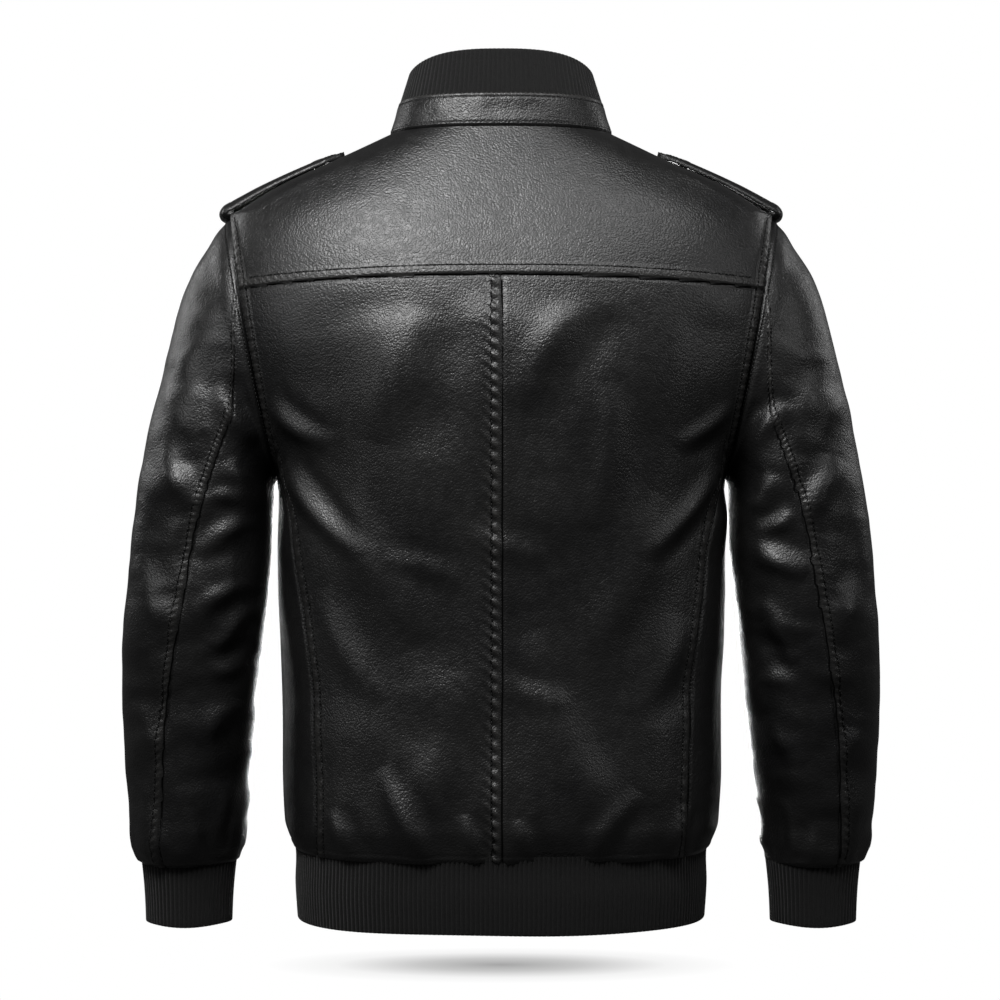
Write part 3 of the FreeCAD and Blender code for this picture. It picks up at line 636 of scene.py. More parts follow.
def painted_shade_ribbons(name, tree, paths, width, rise):
    """Thin dark ribbons of painted shade along paths on a surface, standing in for the shadow in a seam or
    under a row of stitches.
    """
    all_points, all_faces, start = [], [], 0
    for path in paths:
        spots, directions = even_path(path, RIBBON_PITCH)
        pairs = []
        for spot, direction in zip(spots, directions):
            hit, normal, _, _ = tree.find_nearest(Vector(spot))
            across = np.array(normal.cross(Vector(direction)).normalized())
            centre = np.array(hit) + np.array(normal) * rise
            pairs += [centre - across * width / 2, centre + across * width / 2]
        first = np.arange(len(spots) - 1) * 2 + start
        all_faces.append(np.stack([first, first + 1, first + 3, first + 2], axis=1))
        all_points.append(np.array(pairs))
        start += len(pairs)
    obj = new_object(name, np.concatenate(all_points), np.concatenate(all_faces), PAINTED_SHADE)
    return obj


def sew(name, surface, paths):
    """Stitches along paths, laid on a surface object."""
    tree = surface_tree(surface)
    template, template_faces = stitch_template()
    all_points, all_faces = [], []
    for path in paths:
        spots, directions = even_path(path, STITCH_PITCH)
        for spot, direction in zip(spots, directions):
            hit, normal, _, _ = tree.find_nearest(Vector(spot))
            across = normal.cross(Vector(direction)).normalized()
            along = across.cross(normal)
            basis = np.array([along, across, normal])
            all_faces.append(template_faces + len(all_points) * len(template))
            all_points.append((template * STITCH_SIZE) @ basis + np.array(hit) + basis[2] * STITCH_LIFT)
    obj = new_object(name, np.concatenate(all_points), np.concatenate(all_faces), THREAD)
    return obj


# ---------------------------------------------------------------- torso
TORSO_ROWS, TORSO_COLUMNS = 440, 150
TORSO_TOP_Z = NECK_Z - 0.4
TORSO_MIDDLE = (0, 0, -300)
ARMHOLE_ROUND = 580.0                     # length round an armhole
FAR = 999.0
CENTRE_SEAM_X = -1.0
CENTRE_STITCH, YOKE_STITCH, SIDE_STITCH, ZIP_STITCH = 8.8, 8.6, 6.8, 6.5
SIDE_ROWS = (1.6, 7.3)
ARMHOLE_ROWS = (2.6, 9.0)
WEAR_LIMIT, WEAR_SHARE = 1.4, 0.35


def torso_grid(z, is_back):
    """Points from the centre plane to the side edge of the left half, one row for each height."""
    depth = section_depth(z, is_back)
    width = section_half_width(z, depth)
    in_arm = (z > ARM_LOW_Z) & (z < ARM_TOP_Z)
    edge = np.where(in_arm, angle_for_x(arm_x(z), width), math.pi / 2)
    if is_back:
        start = np.zeros_like(z)
    else:
        inner_x = np.maximum(ZIP_HALF_GAP, neckline_at(z)[0])
        start = angle_for_x(np.where(z < FRONT_NECK_Z, ZIP_HALF_GAP, inner_x), width)
    share = even_angle(np.linspace(0, 1, TORSO_COLUMNS + 1))
    angle = start[:, None] + (edge - start)[:, None] * share[None, :]
    power = 2 / ROUNDNESS
    x = width[:, None] * np.sin(angle) ** power
    y = depth[:, None] * np.clip(np.cos(angle), 0, 1) ** power
    return np.stack([x, y if is_back else -y, np.broadcast_to(z[:, None], x.shape)], axis=-1)


def armhole_loop(count=240):
    turn = np.linspace(0, 2 * math.pi, count, endpoint=False)
    z = ARM_MIDDLE_Z + ARM_HALF_HEIGHT * np.cos(turn)
    return np.stack([arm_x(z), ARM_HALF_DEPTH * np.sin(turn), z], axis=-1)


def distance_to_armhole(points):
    """Distance to the nearest armhole edge, and how far round it that edge point is, in mm."""
    distance = np.full(len(points), FAR)
    along = np.zeros(len(points))
    loop = armhole_loop()
    near = np.flatnonzero((points[:, 2] > ARM_LOW_Z - 70) & (np.abs(points[:, 0]) > 120))
    for chunk in np.array_split(near, 40):
        left = points[chunk].copy()
        left[:, 0] = np.abs(left[:, 0])
        gaps = np.linalg.norm(left[:, None] - loop[None], axis=2)
        distance[chunk] = gaps.min(axis=1)
        along[chunk] = gaps.argmin(axis=1) * ARMHOLE_ROUND / len(loop)
    return distance, along


def soften_sides(grid, edge_distance, rounds=700):
    """Evens out the form up and down near the armpit, where two formulas meet."""
    result = grid.copy()
    keep = (smooth_step(4, 45, edge_distance) * bump(grid[..., 2], ARM_LOW_Z, 40))[..., None]
    for _ in range(rounds):
        inner = (result[:-2] + 2 * result[1:-1] + result[2:]) / 4
        result[1:-1, :, :2] += (keep[1:-1] * (inner - result[1:-1]))[..., :2]
    return result


def soften_shoulder(grid, edge_distance, is_back, rounds=200):
    """Evens out the depth of the form around the shoulder's foot. Its outlines stay."""
    z = grid[:, 0, 2]
    width = section_half_width(z, section_depth(z, is_back))
    places = np.arange(0, 232.0)
    depth = np.abs(surface_line(places[None], z[:, None], is_back)[..., 1])
    known = (places[None] < width[:, None] - 1).astype(float)
    even = depth * known
    share = known.copy()
    for _ in range(rounds):
        even[1:-1] = (even[:-2] + 2 * even[1:-1] + even[2:]) / 4
        share[1:-1] = (share[:-2] + 2 * share[1:-1] + share[2:]) / 4
    even = even / np.maximum(share, 1e-6)
    x = np.abs(grid[..., 0])
    smoothed = np.stack([np.interp(x[k], places, even[k]) for k in range(len(z))])
    keep = smooth_step(4, 45, edge_distance) * smooth_step(3, 34, width[:, None] - x)
    keep = keep * smooth_step(-190, -120, z)[:, None] * smooth_step(-14, -48, z)[:, None]
    if not is_back:
        inner = np.where(z < FRONT_NECK_Z, 0, neckline_at(z)[0])
        keep = keep * smooth_step(0, 30, x - inner[:, None]) * (z > FRONT_NECK_Z - 90)[:, None]
    result = grid.copy()
    sign = 1 if is_back else -1
    result[..., 1] += keep * (sign * smoothed - grid[..., 1])
    return result


FOLD_STRENGTH = 1.35


def back_folds(points):
    """Drapes of the back below the yoke, and the gathers over the hem."""
    plane = points[:, [0, 2]]
    x, z = points[:, 0], points[:, 2]
    below_yoke = 1 - smooth_step(-40, -8, z - yoke_seam_z(x))
    drape = 3.2 * noise(points, (62, 400, 260), 3) + 2.0 * noise(points, (30, 400, 120), 5)
    drape = drape + 1.5 * noise(points, (48, 400, 36), 9)
    crests = [
        ((-74, -136), (-14, -232), 15, 3.2, 6), ((-86, -210), (-74, -330), 13, 3.0, -6),
        ((-26, -410), (-86, -575), 17, 3.4, 8), ((96, -520), (54, -600), 9, 3.6, 4),
        ((62, -150), (96, -260), 20, 3.0, 8), ((128, -300), (60, -420), 16, 2.6, 8),
        ((-128, -300), (-70, -430), 16, 2.6, -8), ((40, -440), (72, -580), 18, 2.6, -6),
        ((186, -262), (112, -352), 8, 3.4, 8), ((-186, -262), (-112, -352), 8, 3.4, -8),
        ((196, -222), (140, -262), 7, 2.8, 4), ((-196, -222), (-140, -262), 7, 2.8, -4),
        ((148, -380), (96, -470), 11, 2.0, 6), ((-150, -400), (-104, -480), 11, 2.0, -6),
        ((-112, -540), (-66, -600), 9, 3.0, 4), ((30, -556), (18, -600), 6, 2.6, 0),
        ((-14, -560), (-26, -600), 6, 2.4, 0), ((140, -556), (120, -600), 7, 2.6, 0),
        ((-150, -552), (-136, -600), 7, 2.6, 0), ((30, -330), (-40, -352), 9, 1.3, 3),
        ((96, -352), (30, -372), 8, 1.2, -3), ((6, -452), (-62, -470), 9, 1.3, 3),
    ]
    for start, end, width, height, bow in crests:
        drape = drape + FOLD_STRENGTH * fold(plane, start, end, width, height, bow)
    gathers = 2.2 * noise(points, (15, 400, 90), 21) * smooth_step(-545, -590, z)
    yoke = 0.9 * noise(points, (70, 400, 60), 13)
    return (drape + gathers) * below_yoke + yoke * (1 - below_yoke)


def front_folds(points):
    """Softer drapes on the two fronts, stiffer towards the zip."""
    plane = points[:, [0, 2]]
    z = points[:, 2]
    drape = 2.0 * noise(points, (56, 400, 220), 31) + 1.2 * noise(points, (28, 400, 90), 33)
    for side in (1, -1):
        crests = [((186, -262), (120, -330), 8, 3.2, 6), ((194, -225), (140, -262), 7, 2.6, 3),
                  ((70, -150), (96, -270), 18, 2.2, 6), ((60, -520), (46, -600), 9, 2.4, 3),
                  ((150, -545), (132, -600), 8, 2.6, 2)]
        for (ax, az), (bx, bz), width, height, bow in crests:
            drape = drape + fold(plane, (side * ax, az), (side * bx, bz), width, height, side * bow)
    gathers = 1.6 * noise(points, (15, 400, 90), 37) * smooth_step(-545, -590, z)
    near_zip = smooth_step(8, 50, np.abs(points[:, 0]))
    near_pocket = 1 - 0.85 * bump(np.abs(points[:, 0]), 117, 34) * bump(z, -443, 90)
    return (drape + gathers) * near_zip * near_pocket


def torso_seams(points, is_back, edge_distance, edge_along):
    """Height of the seams and topstitched welts of the torso."""
    x, z = points[:, 0], points[:, 2]
    away = smooth_step(6, 16, edge_distance)
    height = np.zeros(len(points))
    if is_back:
        centre = seam(x - CENTRE_SEAM_X, z, CENTRE_STITCH, 1.3, 0.8)
        height = height + np.where(z < yoke_seam_z(x) - 1, centre, 0)
    yoke = seam(z - yoke_seam_z(x), x, YOKE_STITCH, 0.25, 1.0, 6.1)
    height = height + yoke * smooth_step(0, 6, edge_distance) * (np.abs(z - YOKE_SEAM_Z) < 40)
    inward = (princess_x(z) - np.abs(x)) * 0.93
    side_seam = seam(inward, z, SIDE_STITCH, 0.45, 0.7)
    height = height + side_seam * (z < PRINCESS_TOP_Z + 10) * away
    armhole = (0.9 * smooth_step(0.8, 2.5, edge_distance) * (1 - smooth_step(9, 13, edge_distance))
               - 0.5 * bump(edge_distance, 2.6, 0.9) - 0.5 * bump(edge_distance, 9.0, 0.9)
               - 1.2 * bump(edge_distance, 0, 1.2)
               + 0.35 * np.sin(2 * math.pi * edge_along / 7.0) * bump(edge_distance, 6, 4))
    height = height + np.where(edge_distance < 40, armhole, 0)
    if not is_back:
        zip_row = np.abs(x) - ZIP_HALF_GAP
        height = height + np.where(z < FRONT_NECK_Z - 2, -0.6 * bump(zip_row, ZIP_STITCH, 0.9), 0)
    height = height - 2.2 * bump(z, HEM_SEAM_Z, 2.2)
    height = height - 0.4 * bump(z, HEM_SEAM_Z + 7, 0.9)
    return height


def make_torso():
    z = np.linspace(HEM_SEAM_Z, TORSO_TOP_Z, TORSO_ROWS)
    halves = {True: torso_grid(z, True), False: torso_grid(z, False)}
    back = np.concatenate([(halves[True] * mirror(-1))[:, :0:-1], halves[True]], axis=1)
    grids = [back, halves[False], halves[False] * mirror(-1)]
    distances = []
    for k, grid in enumerate(grids):
        distance, along = distance_to_armhole(grid.reshape(-1, 3))
        shaped = distance.reshape(grid.shape[:2])
        grids[k] = soften_shoulder(soften_sides(grid, shaped), shaped, k == 0)
        distances.append((distance, along))
    starts = np.cumsum([0] + [g.shape[0] * g.shape[1] for g in grids])
    indices = [grid_index(grid, start) for grid, start in zip(grids, starts)]
    joined = (z <= ARM_LOW_Z) | (z >= ARM_TOP_Z)
    indices[1][joined, -1] = indices[0][joined, -1]
    indices[2][joined, -1] = indices[0][joined, 0]
    faces = [grid_faces(index) for index in indices]
    faces = np.concatenate([faces[0], faces[1][:, ::-1], faces[2]])
    points = np.concatenate([g.reshape(-1, 3) for g in grids])
    used, faces = renumber(faces, len(points))
    distance = np.concatenate([d for d, _ in distances])[used]
    along = np.concatenate([a for _, a in distances])[used]
    obj = new_object("torso_leather", points[used], faces, LEATHER)
    face_outward(obj, TORSO_MIDDLE)
    points, normals = vertex_array(obj), normal_array(obj)
    is_back = np.arange(starts[-1])[used] < starts[1]
    side = (1 - smooth_step(0, 26, np.abs(points[:, 1]))) * (points[:, 2] < ARM_LOW_Z + 4)
    folds = np.where(is_back, back_folds(points), front_folds(points))
    seams = np.where(is_back, torso_seams(points, True, distance, along),
                     torso_seams(points, False, distance, along))
    fade = smooth_step(2, 34, distance) * (1 - side * 0.9)
    ridge = smooth_step(0, 22, np.abs(points[:, 1]))
    fade = np.where(points[:, 2] > ARM_TOP_Z - 10, fade * ridge, fade)
    near_neck = smooth_step(4, 40, NECK_Z - points[:, 2])
    move_vertices(obj, points + normals * (folds * fade * near_neck + seams)[:, None])
    keep_rest(obj)
    keep_wear(obj, np.clip(seams, 0, WEAR_LIMIT) * WEAR_SHARE)
    return settle(obj, BODY, "leather", "back_yoke", *both("back_panel"), *both("side_panel"),
                  *both("front_panel"), *both("front_yoke"))


def both(name):
    return [name + "_left", name + "_right"]


def surface_line(x, z, is_back):
    """Points on the torso's plain form at given x and z."""
    x, z = np.broadcast_arrays(np.asarray(x, float), np.asarray(z, float))
    depth = section_depth(z, is_back)
    width = section_half_width(z, depth)
    ratio = np.minimum(np.abs(x) / width, 0.9999) ** ROUNDNESS
    y = depth * (1 - ratio) ** (1 / ROUNDNESS)
    return np.stack([x, y if is_back else -y, z], axis=-1)


def armhole_rows(side):
    """Topstitch rows on the body beside an armhole, as points near the surface."""
    rows = []
    turn = np.linspace(0, 2 * math.pi, 200)
    for inset in ARMHOLE_ROWS:
        z = ARM_MIDDLE_Z + (ARM_HALF_HEIGHT + inset) * np.cos(turn)
        y = (ARM_HALF_DEPTH + inset) * np.sin(turn)
        x = arm_x(z) - inset * 0.6
        row = np.stack([side * x, y, z], axis=-1)
        between_ends = (z > ARM_LOW_Z + 8) & (z < ARM_TOP_Z - 2)
        rows += [row[between_ends & half] for half in (y > 0, y < 0)]
    return rows


def make_torso_stitches(torso):
    """Topstitching of the torso, and ribbons of painted shade along its seams and stitch rows, laid on its
    leather.
    """
    xs = np.linspace(-206, 206, 200)
    centre_z = np.linspace(HEM_SEAM_Z + 2, YOKE_SEAM_Z - 3, 200)
    centre_x = np.full(200, CENTRE_SEAM_X)
    side_z = np.linspace(HEM_SEAM_Z + 2, PRINCESS_TOP_Z - 4, 200)
    edge_z = np.linspace(HEM_SEAM_Z + 2, FRONT_NECK_Z - 4, 200)
    rows = [surface_line(xs, yoke_seam_z(xs) + YOKE_STITCH, True),
            surface_line(centre_x + CENTRE_STITCH, centre_z, True)]
    seams = [surface_line(xs, yoke_seam_z(xs), True), surface_line(centre_x, centre_z, True)]
    for side in (1, -1):
        for is_back in (True, False):
            seams.append(surface_line(side * princess_x(side_z), side_z, is_back))
            rows += [surface_line(side * (princess_x(side_z) - inset), side_z, is_back)
                     for inset in SIDE_ROWS]
        stitch_x, seam_x = np.linspace(10, 204, 120) * side, np.linspace(8, 206, 120) * side
        rows.append(surface_line(stitch_x, yoke_seam_z(stitch_x) + YOKE_STITCH, False))
        seams.append(surface_line(seam_x, yoke_seam_z(seam_x), False))
        rows.append(surface_line(np.full(200, side * (ZIP_HALF_GAP + ZIP_STITCH)), edge_z, False))
        rows += armhole_rows(side)
    tree = surface_tree(torso)
    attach(sew("body_topstitching", torso, rows), BODY)
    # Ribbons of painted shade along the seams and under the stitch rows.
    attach(painted_shade_ribbons("body_seam_painted_shade", tree, seams, SEAM_SHADE_WIDTH, SHADE_RIBBON_RISE), BODY)
    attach(painted_shade_ribbons("body_stitch_painted_shade", tree, rows, STITCH_SHADE_WIDTH, STITCH_SHADE_RISE), BODY)


# ---------------------------------------------------------------- sleeves
SLEEVE_ROWS, SLEEVE_COLUMNS = 380, 240
FRONT_SEAM_ANGLE = 300
SLEEVE_STITCH, SLEEVE_WELT = 7.4, 7.6     # the stitches lie just inside the welt's edge
HEAD_STITCH = 6.0                         # from the armhole
SLEEVE_LINING_DEPTH = 5.5
ARM_REACH = 135                           # no point of a sleeve is farther from its middle


def sleeve_rows():
    """Stations of the sleeve's rows, spaced evenly along its outer line, and that length."""
    t = np.linspace(0, SLEEVE_END, 1200)
    middle, axis, _ = sleeve_frame(t)
    run = run_along(middle + axis)
    length = np.linspace(0, run[-1], SLEEVE_ROWS)
    return np.interp(length, run, t), length


BACK_SEAM_KEYS = [(0, 66), (0.6, 92), (1.2, 103), (2, 99), (3, 91), (4, 83), (5, 75), (6.2, 66)]


def back_seam_angle(t):
    return smooth_value(BACK_SEAM_KEYS, t)


def front_seam_angle(t):
    return FRONT_SEAM_ANGLE - 4 * np.sin(t)


def sleeve_surface(t, angle, inset=0.0):
    """Points of the left sleeve's plain form at stations t and angles in radians."""
    middle, axis, half_depth = sleeve_frame(t)
    shrink = 1 - inset / np.linalg.norm(axis, axis=-1, keepdims=True)
    points = middle + axis * shrink * np.cos(angle)[..., None]
    points[..., 1] += (half_depth - inset) * np.sin(angle)
    return points


def sleeve_folds(points, side):
    """Folds of one sleeve. Both sleeves are made in the left one's place and mirrored later."""
    plane = points[:, [0, 2]]
    on_back = smooth_step(-10, 25, points[:, 1])
    lean = np.stack([points[:, 0] + 0.55 * points[:, 2], points[:, 1], points[:, 2]], axis=1)
    seed = 41 if side > 0 else 67
    height = 3.0 * noise(lean, (60, 90, 44), seed) + 1.9 * noise(lean, (40, 60, 22), seed + 2)
    height = height + 0.7 * noise(lean, (22, 30, 11), seed + 4)
    crests = [
        ((280, -256), (250, -312), 9, 4.6, 4), ((268, -180), (247, -254), 12, 4.0, 4),
        ((236, -212), (199, -258), 9, 5.4, 4), ((224, -270), (202, -314), 8, 5.0, 3),
        ((250, -352), (196, -320), 9, 5.2, -5), ((214, -392), (240, -428), 7, 3.6, -4),
        ((210, -372), (254, -404), 8, 3.6, 5),
        ((304, -352), (276, -410), 10, 3.2, 4), ((306, -470), (280, -520), 9, 2.4, 3),
        ((222, -470), (250, -512), 8, 2.8, 4), ((300, -540), (288, -600), 8, 2.2, 3),
        ((232, -540), (244, -604), 7, 2.4, -3), ((280, -200), (262, -250), 8, 2.6, 3),
        ((240, -300), (206, -318), 7, 3.4, -4), ((244, -446), (212, -440), 7, 2.6, 3),
        ((262, -560), (256, -604), 6, 1.8, 0), ((296, -300), (308, -372), 9, 2.2, 2),
    ]
    shift = (0, 0) if side > 0 else (3, -14)
    for start, end, width, crest, bow in crests:
        a, b = np.array(start) + shift, np.array(end) + shift
        height = height + fold(plane, a, b, width, crest, bow * side) * on_back
        front = fold(plane, a + (2, 22), b + (-4, 26), width * 1.2, crest * 0.8, -bow * side)
        height = height + front * (1 - on_back)
    gathers = 1.7 * noise(points, (13, 13, 70), seed + 6) * smooth_step(-560, -602, points[:, 2])
    return height + gathers


def sleeve_heights(points, side, t, length, angle, radius):
    """How far each point stands off the sleeve's plain form, and its seams' part of that."""
    outline = 1 - 0.65 * bump((angle + 180) % 360 - 180, 0, 34)
    folds = sleeve_folds(points, side) * smooth_step(4, 46, length) * outline
    folds = folds + 3.0 * smooth_step(10, 90, length) * (1 - outline)
    folds = folds * (1 - 0.5 * smooth_step(SLEEVE_END - 0.1, SLEEVE_END, t))
    head = 2.0 * bump(length, 16, 12) - 1.6 * bump(length, 0, 1.8)
    back = np.radians(back_seam_angle(t) - angle) * radius
    front = np.radians(angle - front_seam_angle(t)) * radius
    seams = (seam(back, length, SLEEVE_WELT, 0.6, 0.8, 7.4)
             + seam(front, length, SLEEVE_WELT, 0.45, 0.7, 7.4)) * smooth_step(2, 10, length)
    tuck = -3.0 * smooth_step(SLEEVE_END - 0.05, SLEEVE_END, t)
    puff = 1.6 * bump(t, SLEEVE_END - 0.22, 0.12)
    under_arm = smooth_step(-0.35, -0.95, np.cos(np.radians(angle))) * (1 - smooth_step(3.0, 4.2, t))
    return (folds + head + seams + tuck + puff) * (1 - 0.75 * under_arm), seams


def make_sleeve_trims(name, whole, t, length):
    """Stitches of the left sleeve, and ribbons of painted shade along its seams and stitch rows."""
    head = np.full(200, np.interp(HEAD_STITCH, length, t))
    ring = sleeve_surface(head, np.linspace(0, 2 * math.pi, 200))
    rows = sleeve_seam_paths(t, SLEEVE_STITCH) + [ring]
    seams = sleeve_seam_paths(t, 0.0)
    tree = surface_tree(whole)
    return {
        "stitches": sew(name + "_stitches", whole, rows),
        # The two ribbon entries are painted shade: one under the stitch rows, one along the seam lines.
        "channels": painted_shade_ribbons(name + "_channels", tree, rows, STITCH_SHADE_WIDTH, STITCH_SHADE_RISE),
        "seams": painted_shade_ribbons(name + "_seams", tree, seams, SEAM_SHADE_WIDTH, SLEEVE_SEAM_SHADE_RISE),
    }


def make_sleeve(name, side):
    """The leather of one sleeve, cut in two pieces that share a ring above the elbow."""
    t, length = sleeve_rows()
    angle = np.linspace(0, 360, SLEEVE_COLUMNS, endpoint=False)
    middle, axis, _ = sleeve_frame(t)
    grid = sleeve_surface(t[:, None], np.radians(angle)[None])
    whole = new_object(name + "_whole", grid.reshape(-1, 3), grid_faces(grid_index(grid), True), LEATHER)
    face_outward(whole, middle[200])
    rows = np.repeat(np.arange(len(t)), SLEEVE_COLUMNS)
    points = vertex_array(whole)
    amount, seams = sleeve_heights(points, side, t[rows], length[rows], np.tile(angle, len(t)),
                                   np.linalg.norm(axis, axis=1)[rows])
    points = points + normal_array(whole) * amount[:, None]
    move_vertices(whole, points)
    normals = normal_array(whole)
    trims = make_sleeve_trims(name, whole, t, length)
    bpy.data.objects.remove(whole)
    split = int(np.argmin(np.abs(t - SLEEVE_SPLIT)))
    wear = np.clip(seams, 0, WEAR_LIMIT) * WEAR_SHARE
    made = []
    for label, first, last in (("upper", 0, split + 1), ("lower", split, len(t))):
        chosen = slice(first * SLEEVE_COLUMNS, last * SLEEVE_COLUMNS)
        faces = grid_faces(grid_index(grid[first:last]), True)
        obj = new_object(f"{name}_{label}", points[chosen] * mirror(side), faces, LEATHER)
        face_outward(obj, middle[(first + last) // 2] * mirror(side))
        obj.data.normals_split_custom_set_from_vertices((normals[chosen] * mirror(side)).tolist())
        keep_rest(obj)
        keep_wear(obj, wear[chosen])
        made.append((obj, t[rows][chosen]))
    for trim in trims.values():
        mirror_object(trim, side)
    return made, trims


def mirror_object(obj, side):
    if side < 0:
        move_vertices(obj, vertex_array(obj) * mirror(side))
        turn_over(obj)


def sleeve_seam_paths(t, inset):
    """Lines along the two lengthwise seams of the left sleeve, or beside them on the welt."""
    radius = np.linalg.norm(sleeve_frame(t)[1], axis=1)
    angles = (np.radians(back_seam_angle(t)) - inset / radius,
              np.radians(front_seam_angle(t)) + inset / radius)
    return [sleeve_surface(t, angle)[5:-4] for angle in angles]


def set_blend(obj):
    """Bakes a piece's placement into its mesh."""
    points = vertex_array(obj) * MM
    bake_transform(obj)


def station_at(points, side):
    """Station of the sleeve nearest to each point, from the sleeve's middle line."""
    t = np.linspace(0, SLEEVE_END, 240)
    middle, axis, _ = sleeve_frame(t)
    normal = np.cross(unit(axis), np.array([0, 1.0, 0]))
    local = points * mirror(side)
    result = np.empty(len(points))
    for chunk in np.array_split(np.arange(len(points)), 60):
        offset = local[chunk][:, None] - middle[None]
        off_plane = np.abs(np.einsum("ijk,jk->ij", offset, normal))
        too_far = np.linalg.norm(offset, axis=2) > ARM_REACH
        result[chunk] = t[np.argmin(np.where(too_far, np.inf, off_plane), axis=1)]
    return result


def sleeve_spans(name):
    """For the upper and the lower leather: its label, the two bodies it lies between, and a bend span in
    stations.
    """
    upper_body, lower_body = f"upper_sleeve_{name}", f"forearm_{name}"
    return (("upper", BODY, upper_body, SHOULDER_BEND), ("lower", upper_body, lower_body, ELBOW_BEND))


def make_sleeve_lining(name, side):
    """Satin tube inside the sleeve, cut where its leather is cut."""
    stations = (np.linspace(0.02, SLEEVE_SPLIT, 40), np.linspace(SLEEVE_SPLIT, SLEEVE_END - 0.05, 40))
    angle = np.linspace(0, 2 * math.pi, 72, endpoint=False)
    for t, (label, first, second, bend) in zip(stations, sleeve_spans(name)):
        grid = sleeve_surface(t[:, None], angle[None], SLEEVE_LINING_DEPTH) * mirror(side)
        obj = new_object(f"sleeve_lining_{name}_{label}", grid.reshape(-1, 3),
                         grid_faces(grid_index(grid), True), LINING)
        set_blend(obj)


def split_trim(trim, label, name, side):
    """Parts a sleeve's stitches or ribbons of painted shade at the ring where its two leather pieces meet.
    """
    points, faces = vertex_array(trim), face_array(trim)
    stations = station_at(points, side)
    is_upper = stations[faces].mean(axis=1) < SLEEVE_SPLIT
    for chosen, (part, first, second, bend) in zip((is_upper, ~is_upper), sleeve_spans(name)):
        used, part_faces = renumber(faces[chosen], len(points))
        obj = new_object(f"{label}_{name}_{part}", points[used], part_faces, trim.data.materials[0])
        set_blend(obj)
    bpy.data.objects.remove(trim)


def make_sleeves():
    for name, side in (("left", 1), ("right", -1)):
        pieces, trims = make_sleeve(f"sleeve_{name}", side)
        replaced = (("sleeve_cap", "upper_sleeve_outer", "upper_sleeve_under"),
                    ("sleeve_elbow", "forearm_outer", "forearm_under"))
        for (obj, t), (_, first, second, bend), nodes in zip(pieces, sleeve_spans(name), replaced):
            set_blend(obj)
            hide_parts(*(f"{node_name}_{name}" for node_name in nodes))
        for label, trim in trims.items():
            split_trim(trim, label, name, side)
        make_sleeve_lining(name, side)


# ---------------------------------------------------------------- rib knit
RIB_PITCH = 3.9
KNIT_DROP = 1.6           # the folded edge hangs this far below a band's rows
COLLAR_OPENING = math.degrees((ZIP_HALF_GAP / NECK_HALF_WIDTH) ** (ROUNDNESS / 2))
RIB_HEIGHT = 1.05
RIB_ROUNDNESS = 0.7       # below 1: round crests and narrow valleys


def make_rib_band(name, loop_at, closed, profile, inside, nodes, body):
    """Knit band. loop_at gives points and outward at a height share of the band.

    profile lists rows as (height share, depth, share of the rib's height, drop).
    """
    middle, _ = loop_at(0.5)
    run = run_along(middle)
    total = run[-1] + (np.linalg.norm(middle[0] - middle[-1]) if closed else 0)
    pitch = total / round(total / RIB_PITCH)
    wave = np.abs(np.sin(math.pi * run / pitch)) ** RIB_ROUNDNESS
    rows = []
    for share, depth, rib, drop in profile:
        points, outward = loop_at(share)
        offset = RIB_HEIGHT * rib * (wave - 0.5) - depth
        if not closed:
            offset[[0, -1]] = -RIB / 2
        rows.append(points + outward * offset[:, None] - (0, 0, drop))
    grid = np.stack(rows)
    obj = new_object(name, grid.reshape(-1, 3), grid_faces(grid_index(grid), closed), KNIT)
    face_outward(obj, inside)
    keep_rest(obj)
    settle(obj, body, "rib_knit", *nodes)


def outward_of(points, closed):
    """Level outward directions of a loop that runs round the Z axis."""
    if closed:
        tangent = np.roll(points, -1, axis=0) - np.roll(points, 1, axis=0)
    else:
        tangent = np.gradient(points, axis=0)
    outward = unit(np.stack([tangent[:, 1], -tangent[:, 0], 0 * tangent[:, 0]], axis=1))
    middle = points.mean(axis=0)
    if np.mean(np.einsum("ij,ij->i", outward, points - middle)) < 0:
        outward = -outward
    return outward


def even_loop(points, count):
    """The same loop with evenly spaced points."""
    run = run_along(points)
    return points_at(np.linspace(0, run[-1], count), run, points)


def fold_profile(bottom_drop):
    """Profile of a band: down its outer face, round the folded edge, and up its inner face."""
    rows = [(1 - k / 16, 0.0, 1.0, 0.0) for k in range(17)]
    for share in np.arange(1, 7) / 7:
        turn = math.pi * share
        rows.append((0.0, RIB / 2 * (1 - math.cos(turn)), 1 - 0.5 * share, bottom_drop * math.sin(turn)))
    return rows + [(k / 6, RIB, 0.4, 0.0) for k in range(7)]


def make_hem():
    def loop_at(share):
        z = HEM_BOTTOM_Z + KNIT_DROP + (HEM_SEAM_Z + 5 - HEM_BOTTOM_Z) * share
        half = []
        for is_back in (False, True):
            depth = section_depth(np.array(z), is_back)
            width = smooth_value(SIDE_KEYS, z) - 1.5 - 2.5 * share
            start = 0.0 if is_back else float(angle_for_x(ZIP_HALF_GAP, width))
            angle = start + (math.pi / 2 - start) * even_angle(np.linspace(0, 1, 160))
            x = width * np.sin(angle) ** (2 / ROUNDNESS)
            y = (depth - 1.0) * np.clip(np.cos(angle), 0, 1) ** (2 / ROUNDNESS)
            half.append(np.stack([x, y if is_back else -y, 0 * x + z], axis=1))
        left = np.concatenate([half[0], half[1][::-1][1:]])
        right = (left * mirror(-1))[::-1][1:]
        points = even_loop(np.concatenate([left, right]), 2300)
        points[:, 2] += 0.5 * np.sin(points[:, 0] / 31) * (1 - share)
        return points, outward_of(points, False)
    make_rib_band("hem_knit", loop_at, False, fold_profile(KNIT_DROP), (0, 0, -627), ["hem_rib"], BODY)


def collar_angles(count):
    return np.linspace(COLLAR_OPENING - 180, 180 - COLLAR_OPENING, count)


